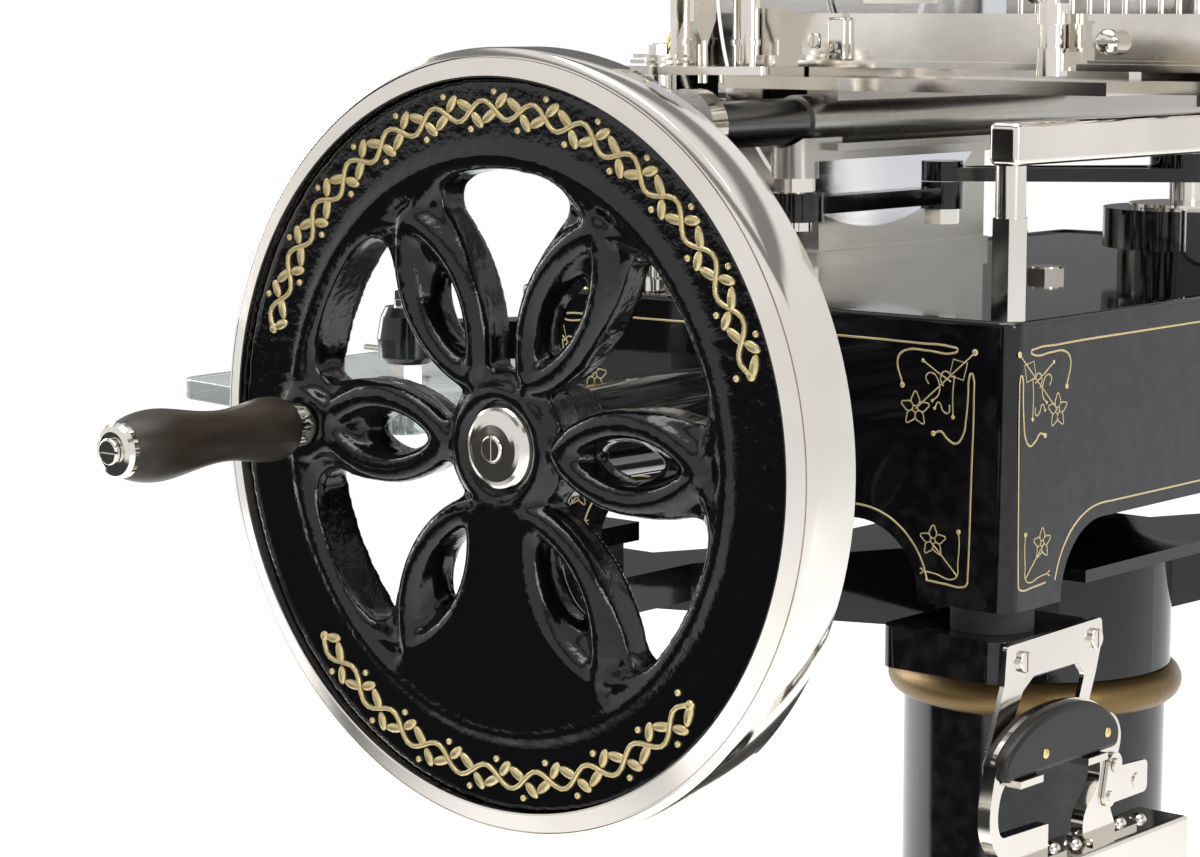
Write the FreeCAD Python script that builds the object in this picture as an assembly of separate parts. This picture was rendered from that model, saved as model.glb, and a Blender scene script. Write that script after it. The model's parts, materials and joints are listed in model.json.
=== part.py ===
import FreeCAD, Part
import math
import os

from FreeCAD import Vector

# Hand crank meat slicer on its pedestal. Millimetres. The origin is the floor under the pedestal's axis,
# +X is the operator's right, the operator stands at -Y and +Z is up.

# ---------------------------------------------------------------- driving dimensions
RUN = 0.05                 # radial clearance of a running fit
GAP = 0.4                  # clearance between pieces that move past each other
SLIT = 0.3                 # clearance between faces that rub lightly

DECK_Z = 959.0             # top of the base's deck above the floor
BASE_H = 164.0             # deck to the soles of the base's feet
BASE_W = 371.0
BASE_L = 636.0
BASE_WALL = 9.0
DECK_T = 10.0
CORNER_R = 10.0            # vertical corners of the base
FOOT_W = 61.5              # width of a foot seen from the front
SIDE_FOOT_W = 54.0         # width of a foot seen from the side
ARCH_H = 44.0              # height of the arches between the feet
PUCK_H = 15.0
PUCK_R = 24.0
PUCK_INSET = 31.0          # puck centre in from the base's sides
PUCK_INSET_Y = 31.0        # puck centre in from the base's ends

WHEEL_R = 215.0
WHEEL_Z = DECK_Z - 63.0    # flywheel axis
WHEEL_Y = -542.0           # front plane of the rim
RIM_W = 39.0
RIM_T = 16.0               # radial thickness of the plated rim
FELLOE_T = 49.0            # radial width of the enamelled felloe inside it
FELLOE_FRONT = 5.0         # its setback behind the rim's face
RIDGE_T = 5.0              # raised ridge round the openings
WEB_FRONT = 9.0
WEB_BACK = 31.0
PETALS = 6
PETAL_IN = 30.0            # radius where a petal's tip would start inside the hub
PETAL_OUT = 160.0
PETAL_HALF = 29.0          # half width of a petal
PETAL_RIB = 8.0            # width of the outer rib
LENS_IN = 50.0             # lens-shaped hole through each petal
LENS_OUT = 124.0
LENS_HALF = 14.0
LENS_DISH = 6.0            # how far the dish opens round the hole
CORNER_FILLET = 13.0       # rounded corners of the openings
HUB_R = 34.0
HUB_FRONT = 8.0
HUB_BACK = 62.0
CAP_R = 23.5
CRANK_PIN_R = 148.0        # handle's distance from the axis
HANDLE_BOSS_R = 20.0
GRIP_L = 122.0
SPINDLE_HOLE_R = 6.0       # hole for the handle's spindle in its boss
HANDLE_ROD_R = 5.0         # spindle inside the wooden grip
AXLE_R = 11.0
HOUSING_R = 29.0

ROD_X = -50.0              # guide rod
ROD_Z = DECK_Z + 102.0
ROD_R = 14.5
SADDLE_R = 16.5            # outer radius of the carriage's tube
SADDLE_Y = -209.0          # its front end
SADDLE_L = 500.0
BUSH_L = 60.0
RAIL_X = 173.0
RAIL_Z = DECK_Z + 98.0     # centre of the outer rail
RAIL_W = 20.0
RAIL_H = 24.0
RAIL_L = 626.0
POST_AF = 19.0
POST_R = 8.5
POST_INSET = 9.0           # post's axis in from the rail's end

ROCK_X = 75.0              # rocker shaft
ROCK_Y = 58.0
ROCK_L = 162.6             # rocker arm, shaft to boss
ROCK_DEG = 39.8            # swing each side of the middle
ROCK_R = 12.0              # rocker shaft
CRANK_THROW = 48.0         # crank pin from the crank gear's axis
LUG_Y = SADDLE_Y + 1.0
LINK_L = 162.0             # connecting rod between its eyes
EYE_R = 14.0               # far eye and the arm's boss, small enough to pass the blade
LINK_Z0 = 999.0
LINK_Z1 = 1017.0

BLADE_R = 170.0
BLADE_X = -104.0           # cutting plane
BLADE_Y = -47.4
BLADE_Z = DECK_Z + 196.0
BLADE_T = 4.0
SPINDLE_R = 10.0
ARM_X0 = -150.0            # knife arm casting
ARM_X1 = -126.0
CHAIN_X = -163.0

TABLE_Y0 = -197.0          # front beam of the meat table
TABLE_X0 = -90.0
TABLE_X1 = 232.0
BEAM_Z0 = 1095.0
BEAM_Z1 = 1128.0
BEAM_T = 12.0
BED_Z = 1088.0             # top of the cross bed
BED_T = 8.0

PAD_Z = DECK_Z - BASE_H - PUCK_H      # top of the pedestal's pads
PAD_X = 144.5              # centre of a pad
PAD_Y = 278.5
PAD_W = 86.0
PAD_D = 95.0
PAD_T = 24.0
COLUMN_R = 88.0
RING_R = 99.0
HEAD_HALF = 102.0
HEAD_T = 8.0
FOOT_R = 275.0
COLUMN_WALL = 14.0
SOLE_T = 12.0

os.makedirs("parts", exist_ok=True)


# ---------------------------------------------------------------- helpers
def box(x0, x1, y0, y1, z0, z1):
    return Part.makeBox(x1 - x0, y1 - y0, z1 - z0, Vector(x0, y0, z0))


def cyl_x(y, z, r, x0, x1):
    return Part.makeCylinder(r, x1 - x0, Vector(x0, y, z), Vector(1, 0, 0))


def cyl_y(x, z, r, y0, y1):
    return Part.makeCylinder(r, y1 - y0, Vector(x, y0, z), Vector(0, 1, 0))


def cyl_z(x, y, r, z0, z1):
    return Part.makeCylinder(r, z1 - z0, Vector(x, y, z0), Vector(0, 0, 1))


def prism(points, direction):
    """Solid swept from a closed polygon of 3-D points."""
    wire = Part.makePolygon([Vector(*p) for p in points] + [Vector(*points[0])])
    return Part.Face(wire).extrude(Vector(*direction))


def hex_z(x, y, flats, z0, z1):
    corner = flats / math.sqrt(3)
    ring = [(x + corner * math.cos(k * math.pi / 3), y + corner * math.sin(k * math.pi / 3), z0) for k in range(6)]
    return prism(ring, (0, 0, z1 - z0))


def revolve(points, centre, axis, side):
    """Revolve (radius, along) points about an axis through centre; side is the radial direction."""
    axis = Vector(*axis)
    side = Vector(*side)
    centre = Vector(*centre)
    ring = [centre + side * r + axis * a for r, a in points]
    face = Part.Face(Part.makePolygon(ring + [ring[0]]))
    return face.revolve(centre, axis, 360)


def tidy(shape):
    shape = shape.removeSplitter()
    if shape.ShapeType == "Compound" and len(shape.Solids) == 1:
        return shape.Solids[0]
    return shape


def join(*shapes):
    shapes = list(shapes)
    return tidy(shapes[0].fuse(shapes[1:]))


def soften(shape, radius, wanted):
    """Fillet the edges that wanted() picks."""
    edges = [e for e in shape.Edges if wanted(e)]
    return shape.makeFillet(radius, edges) if edges else shape


def slotted_head(centre, axis, across, radius, height, slot=1.6):
    """Domed, slotted screw head standing on centre along axis; the slot runs along across."""
    axis = Vector(*axis)
    across = Vector(*across)
    centre = Vector(*centre)
    head = Part.makeCylinder(radius, height, centre, axis)
    rim = [e for e in head.Edges if len(e.Vertexes) == 1 and (e.CenterOfMass - centre).dot(axis) > height * 0.6]
    head = head.makeFillet(height * 0.45, rim)
    third = axis.cross(across)
    corner = centre + axis * (height * 0.55) - across * (2 * radius) - third * (slot / 2)
    groove = Part.makePolygon([corner, corner + across * (4 * radius), corner + across * (4 * radius) + third * slot,
                               corner + third * slot, corner])
    return head.cut(Part.Face(groove).extrude(axis * height))


def save(name, shape):
    shape = shape.copy()
    for solid in shape.Solids:
        if not solid.isValid():
            print("INVALID", name)
    print("%-22s solids %d  volume %.0f" % (name, len(shape.Solids), shape.Volume))
    shape.exportStep("parts/" + name + ".step")
    return shape


def group(solids):
    return Part.makeCompound(solids)


# ---------------------------------------------------------------- flower flywheel
# The wheel is drawn in its own plane: u to the right, v up, and t back from the rim's front plane.
def wheel_point(u, v, t):
    return Vector(u, WHEEL_Y + t, WHEEL_Z + v)


def wheel_disc(radius, t0, t1):
    return Part.makeCylinder(radius, t1 - t0, wheel_point(0, 0, t0), Vector(0, 1, 0))


def lens_wire(r_in, r_out, half, degrees, t):
    """Pointed oval between two radii on one of the wheel's spokes, made of two arcs."""
    a = math.radians(degrees)
    mid = (r_in + r_out) / 2

    def at(r, side):
        return wheel_point(r * math.cos(a) - side * math.sin(a), r * math.sin(a) + side * math.cos(a), t)

    first = Part.Arc(at(r_in, 0), at(mid, half), at(r_out, 0)).toShape()
    second = Part.Arc(at(r_out, 0), at(mid, -half), at(r_in, 0)).toShape()
    return Part.Wire([first, second])


def lens(r_in, r_out, half, degrees, t0, t1):
    return Part.Face(lens_wire(r_in, r_out, half, degrees, t0)).extrude(Vector(0, t1 - t0, 0))


def lens_taper(r_in, r_out, half, grow, degrees, t0, t1):
    """Lens-shaped dish, larger by grow at t0 than at t1."""
    wide = lens_wire(r_in - 1.6 * grow, r_out + 1.6 * grow, half + grow, degrees, t0)
    narrow = lens_wire(r_in, r_out, half, degrees, t1)
    return Part.makeLoft([wide, narrow], True, True)


def wheel_openings():
    """The five rounded openings between the petals; the sixth sector stays closed as the balance weight."""
    inner = WHEEL_R - RIM_T - FELLOE_T
    field = wheel_disc(inner, WEB_FRONT - 20, WEB_BACK + 20)
    petals = [lens(PETAL_IN, PETAL_OUT + 12, PETAL_HALF, 360 / PETALS * k, WEB_FRONT - 21, WEB_BACK + 21)
              for k in range(PETALS)]
    hub = wheel_disc(HUB_R + 8, WEB_FRONT - 21, WEB_BACK + 21)
    rough = field.cut(petals + [hub])
    solids = []
    for piece in rough.Solids:
        centre = piece.CenterOfMass
        angle = math.degrees(math.atan2(centre.z - WHEEL_Z, centre.x)) % 360
        if abs(angle - 270) < 20:
            continue
        corners = [e for e in piece.Edges if e.Vertexes[0].Point.sub(e.Vertexes[-1].Point).Length > 40
                   and abs(e.Vertexes[0].Y - e.Vertexes[-1].Y) > 40]
        outer = [e for e in corners if math.hypot(e.CenterOfMass.x, e.CenterOfMass.z - WHEEL_Z) > inner - 30]
        solids.append(piece.makeFillet(CORNER_FILLET, outer))
    return solids


def make_flywheel():
    rim_in = WHEEL_R - RIM_T
    open_r = rim_in - FELLOE_T
    web = wheel_disc(rim_in, WEB_FRONT, WEB_BACK)
    felloe_ring = wheel_disc(rim_in, FELLOE_FRONT, RIM_W - 3).cut(wheel_disc(open_r, 0, RIM_W))
    ridge = wheel_disc(open_r + 12 + RIDGE_T, FELLOE_FRONT - 3, FELLOE_FRONT + 1)
    ridge = ridge.cut(wheel_disc(open_r + 12, 0, RIM_W))
    hub = wheel_disc(HUB_R, HUB_FRONT, HUB_BACK)
    boss = Part.makeCylinder(HANDLE_BOSS_R, RIM_W - 1, wheel_point(-CRANK_PIN_R, 0, 1), Vector(0, 1, 0))
    body = web.fuse([felloe_ring, ridge, hub, boss])
    body = body.cut(wheel_openings())
    ribs = []
    for k in range(PETALS):
        angle = 360 / PETALS * k
        outer = lens(PETAL_IN + 6, PETAL_OUT - 8, PETAL_HALF - 1, angle, WEB_FRONT - 5, WEB_BACK)
        hollow = lens(PETAL_IN + 20, PETAL_OUT - 26, PETAL_HALF - PETAL_RIB, angle, 0, WEB_FRONT - 0.5)
        ribs.append(outer.cut(hollow))
    body = body.fuse(ribs)
    holes = []
    for k in range(PETALS):
        angle = 360 / PETALS * k
        holes.append(lens(LENS_IN, LENS_OUT, LENS_HALF, angle, -1, RIM_W + 1))
        holes.append(lens_taper(LENS_IN, LENS_OUT, LENS_HALF, LENS_DISH, angle, WEB_FRONT - 1, WEB_FRONT + 9))
    body = body.cut(holes)
    body = body.fuse(wheel_disc(HUB_R, HUB_FRONT, HUB_BACK))
    bore = wheel_disc(AXLE_R, -1, HUB_BACK + 1)
    pin_hole = Part.makeCylinder(SPINDLE_HOLE_R, 80, wheel_point(-CRANK_PIN_R, 0, -20), Vector(0, 1, 0))
    return tidy(body.cut([bore, pin_hole]))


flywheel = save("flywheel", make_flywheel())

rim_in = WHEEL_R - RIM_T
lip = 4.0
groove_r = WHEEL_R - 5.0
rim_profile = [(rim_in, 0), (groove_r - 0.5, 0), (groove_r - 0.5, 0.9), (groove_r + 0.5, 0.9), (groove_r + 0.5, 0.2),
               (WHEEL_R - 2.2, 0.9), (WHEEL_R - 0.7, 2.4), (WHEEL_R, lip), (WHEEL_R, RIM_W - 2),
               (WHEEL_R - 2, RIM_W), (rim_in, RIM_W)]
flywheel_rim = save("flywheel_rim", revolve(rim_profile, (0, WHEEL_Y, WHEEL_Z), (0, 1, 0), (1, 0, 0)))

# Axle: shouldered rod from the wheel's hub to the crank bevel, drilled and tapped for the hub screw.
AXLE_Y0 = WHEEL_Y + HUB_FRONT + 2
AXLE_Y1 = ROCK_Y - 19.0      # inside the crank bevel
HUB_SCREW_R = 4.0
axle = cyl_y(0, WHEEL_Z, AXLE_R, AXLE_Y0, AXLE_Y1)
axle = axle.cut(cyl_y(0, WHEEL_Z, HUB_SCREW_R, AXLE_Y0 - 1, AXLE_Y0 + 26))
save("axle", axle)

# Domed hub cap: edge on the hub's face, flat seat in the middle for the screw.
cap_edge = WHEEL_Y + HUB_FRONT
cap_profile = [(HUB_SCREW_R + 0.3, 0), (CAP_R, 0), (CAP_R, -1.2)]
DOME = 7.0
for k in range(1, 7):
    turn = k / 7 * math.pi / 2 * 0.92
    cap_profile.append((CAP_R - 0.3 - (CAP_R - 8.3) * (1 - math.cos(turn)), -1.2 - (DOME - 1.2) * math.sin(turn)))
cap_profile += [(8.0, -DOME), (8.0, -DOME + 1.6), (HUB_SCREW_R + 0.3, -DOME + 1.6)]
hub_cap = revolve(cap_profile, (0, cap_edge, WHEEL_Z), (0, 1, 0), (1, 0, 0))
seat_y = cap_edge - DOME + 1.6
hub_screw = slotted_head((0, seat_y, WHEEL_Z), (0, -1, 0), (0, 0, 1), 7.4, 3.4, 1.8)
hub_screw = join(hub_screw, cyl_y(0, WHEEL_Z, HUB_SCREW_R, seat_y, AXLE_Y0 + 24))
save("hub_cap", group([hub_cap, hub_screw]))

# Handle: a shouldered spindle through the boss, a turned wooden grip that spins on it, ferrule and end cap.
HX = -CRANK_PIN_R
BOSS_FRONT = WHEEL_Y + 1.0
SPINDLE_BACK = WHEEL_Y + RIM_W
grip_y0 = BOSS_FRONT - 11.5                      # root end of the wood
grip_y1 = grip_y0 - GRIP_L                       # tip end of the wood
spindle = join(cyl_y(HX, WHEEL_Z, HANDLE_ROD_R, grip_y1 - 6.6 - GAP, BOSS_FRONT + 1),
               cyl_y(HX, WHEEL_Z, 10.5, BOSS_FRONT - 2.0, BOSS_FRONT),
               cyl_y(HX, WHEEL_Z, SPINDLE_HOLE_R, BOSS_FRONT, SPINDLE_BACK + 5))
nut = prism([(HX + 10 * math.cos(k * math.pi / 3), SPINDLE_BACK, WHEEL_Z + 10 * math.sin(k * math.pi / 3))
             for k in range(6)], (0, 5, 0))
ferrule = cyl_y(HX, WHEEL_Z, 12.6, grip_y0 + SLIT, BOSS_FRONT - 2.0)
handle_screw = slotted_head((HX, grip_y1 - 6.6 - GAP, WHEEL_Z), (0, -1, 0), (1, 0, 0), 7.3, 3.0, 1.8)
spindle = join(spindle, nut, ferrule, handle_screw)
save("handle_spindle", spindle)
# The wood swells at the root, narrows to a waist and swells again before the cap.
grip_profile_spline = [(12.6, 0), (17.2, -6), (18.4, -14), (16.6, -30), (14.6, -46), (15.4, -64), (18.2, -82),
                       (20.0, -98), (19.0, -110), (15.2, -GRIP_L)]


def turned(points, centre, bore, length):
    """Turned solid along -Y whose outline is a smooth curve through (radius, along) points."""
    nodes = [Vector(centre[0] + r, centre[1] + a, centre[2]) for r, a in points]
    curve = Part.BSplineCurve()
    curve.interpolate(nodes)
    low = Vector(centre[0] + bore, centre[1], centre[2])
    high = Vector(centre[0] + bore, centre[1] - length, centre[2])
    edges = [curve.toShape(), Part.makeLine(nodes[-1], high), Part.makeLine(high, low), Part.makeLine(low, nodes[0])]
    face = Part.Face(Part.Wire(edges))
    solid = face.revolve(Vector(*centre), Vector(0, 1, 0), 360)
    return Part.Solid(Part.Shell(solid.Faces)) if solid.ShapeType != "Solid" else solid


save("handle_grip", turned(grip_profile_spline, (HX, grip_y0, WHEEL_Z), HANDLE_ROD_R + RUN, GRIP_L))
cap_y = grip_y1
end_cap = revolve([(HANDLE_ROD_R + RUN, 0), (15.2, 0), (15.2, -3.0), (13.6, -5.4), (10.5, -6.6), (HANDLE_ROD_R + RUN, -6.6)],
                  (HX, cap_y, WHEEL_Z), (0, 1, 0), (1, 0, 0))
save("handle_cap", end_cap)


# ---------------------------------------------------------------- base casting
def arch_cutter(width, height, radius, z0, along, extent):
    """Opening with rounded upper corners; along is 'x' when it runs through the front and back walls."""
    half = width / 2
    if along == "y":
        def at(u, z):
            return Vector(u, -extent, z)
        way = Vector(0, 2 * extent, 0)
    else:
        def at(u, z):
            return Vector(-extent, u, z)
        way = Vector(2 * extent, 0, 0)
    low = z0 - 1
    spring = z0 + height - radius
    turn = radius * (1 - math.sqrt(0.5))
    edges = [Part.makeLine(at(-half, low), at(-half, spring)),
             Part.Arc(at(-half, spring), at(-half + turn, z0 + height - turn), at(-half + radius, z0 + height)).toShape(),
             Part.makeLine(at(-half + radius, z0 + height), at(half - radius, z0 + height)),
             Part.Arc(at(half - radius, z0 + height), at(half - turn, z0 + height - turn), at(half, spring)).toShape(),
             Part.makeLine(at(half, spring), at(half, low)),
             Part.makeLine(at(half, low), at(-half, low))]
    return Part.Face(Part.Wire(edges)).extrude(way)


FOOT_Z = DECK_Z - BASE_H
HX2 = BASE_W / 2
HY2 = BASE_L / 2
SLOT_X0 = CHAIN_X - 12.0
SLOT_X1 = CHAIN_X + 11.0
CHAIN_HALF = 36.0          # half length of the deck's slot for the chain


TRAY_Z = DECK_Z - 1.2      # the deck's surface inside its lip
UNDER_Z = DECK_Z - DECK_T  # the deck's underside
COLLAR_Z0 = DECK_Z + 15.0  # clamp collar on the rocker shaft
COLLAR_Z1 = DECK_Z + 41.0


def make_base():
    outer = box(-HX2, HX2, -HY2, HY2, FOOT_Z, DECK_Z)
    outer = soften(outer, CORNER_R, lambda e: abs(e.Vertexes[0].Z - e.Vertexes[-1].Z) > 100)
    outer = soften(outer, 3.0, lambda e: e.BoundBox.ZMin > DECK_Z - 0.1)
    inner = box(-HX2 + BASE_WALL, HX2 - BASE_WALL, -HY2 + BASE_WALL, HY2 - BASE_WALL, FOOT_Z - 1, DECK_Z - DECK_T)
    feet = []
    for sx in (-1, 1):
        for sy in (-1, 1):
            x = sx * (HX2 - FOOT_W / 2)
            y = sy * (HY2 - SIDE_FOOT_W / 2)
            feet.append(box(x - FOOT_W / 2 + 3, x + FOOT_W / 2 - 3, y - SIDE_FOOT_W / 2 + 3, y + SIDE_FOOT_W / 2 - 3,
                            FOOT_Z, FOOT_Z + 12))
    shell = outer.cut(inner).fuse(feet)
    front = arch_cutter(BASE_W - 2 * FOOT_W, ARCH_H, ARCH_H - 1, FOOT_Z, "y", BASE_L)
    side = arch_cutter(BASE_L - 2 * SIDE_FOOT_W, ARCH_H, ARCH_H - 1, FOOT_Z, "x", BASE_W)
    lip_inset = 9.0
    tray = box(-HX2 + lip_inset, HX2 - lip_inset, -HY2 + lip_inset, HY2 - lip_inset, DECK_Z - 1.2, DECK_Z + 1)
    boss = cyl_y(0, WHEEL_Z, HOUSING_R + 7, -HY2 - 6, -HY2 + BASE_WALL + 6)
    shell = shell.cut([front, side, tray]).fuse(boss)
    bearing = [cyl_z(ROCK_X, ROCK_Y, 45.0, UNDER_Z, COLLAR_Z0 - SLIT), cyl_z(ROCK_X, ROCK_Y, ROCK_R + 9, UNDER_Z - 14, UNDER_Z + 1)]
    shell = shell.fuse(bearing)
    holes = [cyl_y(0, WHEEL_Z, HOUSING_R - 5, -HY2 - 10, -HY2 + 40),
             cyl_z(ROCK_X, ROCK_Y, ROCK_R + RUN, UNDER_Z - 40, DECK_Z + 40),
             box(SLOT_X0, SLOT_X1, BLADE_Y - CHAIN_HALF, BLADE_Y + CHAIN_HALF, DECK_Z - 20, DECK_Z + 5)]
    return tidy(shell.cut(holes))


save("base_casting", make_base())

pucks = []
for sx in (-1, 1):
    for sy in (-1, 1):
        pucks.append(cyl_z(sx * (HX2 - PUCK_INSET), sy * (HY2 - PUCK_INSET_Y), PUCK_R, PAD_Z, FOOT_Z))
save("rubber_pucks", group(pucks))

BOLT_AF = 24.0
BOLT_H = 6.0
BOLT_SPOTS = [(31.0, -44.0), (-161.0, 133.0), (-88.0, -150.0), (120.0, 170.0)]
bolts = []
for bx, by in BOLT_SPOTS:
    bolts.append(join(hex_z(bx, by, BOLT_AF, TRAY_Z, TRAY_Z + BOLT_H),
                      cyl_z(bx, by, BOLT_AF / 2 - 1.5, TRAY_Z + BOLT_H - 1, TRAY_Z + BOLT_H + 1.0)))
save("deck_bolts", group(bolts))

# ---------------------------------------------------------------- pedestal
head_parts = [box(-HEAD_HALF, HEAD_HALF, -HEAD_HALF, HEAD_HALF, PAD_Z - HEAD_T, PAD_Z)]
ARM_DEEP = 62.0
ARM_WIDE = 46.0
for sx in (-1, 1):
    for sy in (-1, 1):
        pad = box(-PAD_W / 2, PAD_W / 2, -PAD_D / 2, PAD_D / 2, PAD_Z - PAD_T, PAD_Z)
        pad = soften(pad, 12.0, lambda e: abs(e.Vertexes[0].Z - e.Vertexes[-1].Z) > 10)
        pad.translate(Vector(sx * PAD_X, sy * PAD_Y, 0))
        length = math.hypot(PAD_X, PAD_Y)
        arm = prism([(40, -ARM_WIDE / 2, PAD_Z), (length, -ARM_WIDE / 2, PAD_Z), (length, -ARM_WIDE / 2, PAD_Z - PAD_T),
                     (40, -ARM_WIDE / 2, PAD_Z - ARM_DEEP)], (0, ARM_WIDE, 0))
        arm.rotate(Vector(0, 0, 0), Vector(0, 0, 1), math.degrees(math.atan2(sy * PAD_Y, sx * PAD_X)))
        head_parts += [pad, arm]
head_parts.append(cyl_z(0, 0, COLUMN_R + 3, PAD_Z - ARM_DEEP - 22, PAD_Z - 2))
pedestal_head = join(*head_parts)
save("pedestal_head", pedestal_head)

HEAD_BOTTOM = PAD_Z - ARM_DEEP - 22
foot_curve = []
FLARE_Z = 250.0
FLARE_END = 42.0
for k in range(9):
    s = k / 8
    foot_curve.append((COLUMN_R + (FOOT_R - 26 - COLUMN_R) * (1 - math.cos(s * math.pi / 2)) ** 1.2,
                       FLARE_Z - (FLARE_Z - FLARE_END) * math.sin(s * math.pi / 2)))
# Cast column: a shell under the head with a flat sole, hollow down to SOLE_T above the floor.
column_outline = [(COLUMN_R - COLUMN_WALL, HEAD_BOTTOM), (COLUMN_R, HEAD_BOTTOM)] + foot_curve
column_outline += [(FOOT_R - 12, FLARE_END), (FOOT_R - 12, 24), (FOOT_R, 24), (FOOT_R, 0), (0, 0), (0, SOLE_T),
                   (foot_curve[-1][0] - COLUMN_WALL, SOLE_T)]
column_outline += [(r - COLUMN_WALL, z - COLUMN_WALL) for r, z in reversed(foot_curve)]
pedestal = revolve(column_outline, (0, 0, 0), (0, 0, 1), (1, 0, 0))
save("pedestal_column", pedestal)


def half_round_ring(inner, outer, z, height):
    """Half-round moulding round the column."""
    mid = Vector(outer, 0, z)
    arc = Part.Arc(Vector(inner, 0, z - height / 2), mid, Vector(inner, 0, z + height / 2)).toShape()
    chord = Part.makeLine(Vector(inner, 0, z + height / 2), Vector(inner, 0, z - height / 2))
    ring = Part.Face(Part.Wire([arc, chord])).revolve(Vector(0, 0, 0), Vector(0, 0, 1), 360)
    return Part.Solid(Part.Shell(ring.Faces)) if ring.ShapeType != "Solid" else ring


rings = [half_round_ring(COLUMN_R, RING_R, HEAD_BOTTOM - 13, 24), half_round_ring(COLUMN_R, RING_R - 3, FLARE_Z + 12, 16),
         half_round_ring(FOOT_R - 12, FOOT_R - 5, 33, 14)]
save("gilt_rings", group(rings))

# ---------------------------------------------------------------- axle housing and the works under the deck
housing = revolve([(AXLE_R + RUN, WHEEL_Y + HUB_BACK + 2), (HOUSING_R - 4, WHEEL_Y + HUB_BACK + 2), (HOUSING_R - 2, WHEEL_Y + HUB_BACK + 5),
                   (HOUSING_R, -HY2 - 40), (HOUSING_R, -HY2 - 6), (HOUSING_R - 5, -HY2 - 6), (HOUSING_R - 5, -HY2 + 34),
                   (AXLE_R + RUN, -HY2 + 34)], (0, 0, WHEEL_Z), (0, 1, 0), (1, 0, 0))
save("axle_housing", housing)

MODULE = 2.6
CRANK_TEETH = 24
KNIFE_TEETH = 30
CROSS_TEETH = 18
FACE_W = 13.0
BACKLASH = 0.36            # share of the pitch that a tooth fills at the pitch line


def bevel_gear(teeth, mate, hub_r, hub_l, bore, width):
    """Straight bevel gear with its apex at the origin and its axis along -Z (big end at negative Z)."""
    r = MODULE * teeth / 2
    h = MODULE * mate / 2                       # apex to the pitch circle's plane
    cone = math.hypot(r, h)
    inner = (cone - width) / cone
    sin_c = r / cone
    cos_c = h / cone
    add = 0.85 * MODULE
    ded = 1.15 * MODULE

    def ring(scale, offset):
        """Radius and height at a share of the cone, offset outwards square to the cone."""
        return (scale * r + offset * cos_c, -scale * h + offset * sin_c)

    r0, z0 = ring(1.0, -ded)
    r1, z1 = ring(inner, -ded)
    blank = revolve([(bore, z0 - hub_l), (hub_r, z0 - hub_l), (hub_r, z0 - 4), (r0, z0 - 4), (r0, z0), (r1, z1), (bore, z1)],
                    (0, 0, 0), (0, 0, 1), (1, 0, 0))
    tooth_parts = []
    for k in range(teeth):
        mid = 2 * math.pi * (k + 0.5) / teeth
        sections = []
        for scale in (1.0, inner):
            pitch = 2 * math.pi / teeth
            rows = []
            for offset, share in ((-ded - 0.5, BACKLASH + 0.2), (add, BACKLASH - 0.16)):
                radius, z = ring(scale, offset * scale)
                half = pitch * share / 2
                rows.append([Vector(radius * math.cos(mid - half), radius * math.sin(mid - half), z),
                             Vector(radius * math.cos(mid + half), radius * math.sin(mid + half), z)])
            sections.append(Part.makePolygon([rows[0][0], rows[0][1], rows[1][1], rows[1][0], rows[0][0]]))
        tooth_parts.append(Part.makeLoft(sections, True, True))
    return tidy(blank.fuse(tooth_parts))


def place(shape, rotation, target):
    """Turn by an axis and degrees, then move the apex to target."""
    shape = shape.copy()
    axis, degrees = rotation
    shape.rotate(Vector(0, 0, 0), Vector(*axis), degrees)
    shape.translate(Vector(*target))
    return shape


# Crank bevel on the axle (axis Y, big end towards the operator) and the crank gear below the same apex.
crank_pair_r = MODULE * CRANK_TEETH / 2
pinion = bevel_gear(CRANK_TEETH, CRANK_TEETH, 18.0, 14.0, AXLE_R, FACE_W)
pinion.rotate(Vector(0, 0, 0), Vector(0, 0, 1), 180 / CRANK_TEETH)
crank_bevel = place(pinion, ((1, 0, 0), -90), (0, ROCK_Y, WHEEL_Z))

STUD_R = 9.0
DISC_R = CRANK_THROW + 14
gear = bevel_gear(CRANK_TEETH, CRANK_TEETH, 20.0, 8.0, STUD_R + RUN, FACE_W)
gear = place(gear, ((0, 0, 1), 0), (0, ROCK_Y, WHEEL_Z))
gear_back = WHEEL_Z - crank_pair_r - 1.15 * MODULE * math.sqrt(0.5) - 4.0
DISC_Z0 = gear_back - 16.0
DISC_Z1 = gear_back - 4.0
disc = cyl_z(0, ROCK_Y, DISC_R, DISC_Z0, DISC_Z1)
neck = cyl_z(0, ROCK_Y, 20.0, DISC_Z1 - 1, gear_back + 1)
crank_pin_angle = math.radians(-(90.0 - ROCK_DEG))
PIN_X = CRANK_THROW * math.cos(crank_pin_angle)
PIN_Y = ROCK_Y + CRANK_THROW * math.sin(crank_pin_angle)
ROLLER_R = 8.0
ROLLER_H = 4.0
crank_pin = cyl_z(PIN_X, PIN_Y, ROLLER_R, DISC_Z0 - ROLLER_H, DISC_Z0 + 1)
nut_room = cyl_z(0, ROCK_Y, 16.0, DISC_Z0 - 1, DISC_Z0 + 6)
crank_gear = gear.fuse([disc, neck, crank_pin])
crank_gear = crank_gear.cut([cyl_z(0, ROCK_Y, STUD_R + RUN, DISC_Z0 - 5, WHEEL_Z), nut_room])
save("crank_gear", tidy(crank_gear))
stud = join(cyl_z(0, ROCK_Y, 34.0, UNDER_Z - 9, UNDER_Z), cyl_z(0, ROCK_Y, STUD_R + 3, WHEEL_Z - 2, UNDER_Z - 8),
            cyl_z(0, ROCK_Y, STUD_R, DISC_Z0 + 0.5, WHEEL_Z))
stud = join(stud, cyl_z(0, ROCK_Y, 14.0, DISC_Z0 + 0.5, DISC_Z0 + 6 - GAP))
save("crank_stud", stud)

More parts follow.
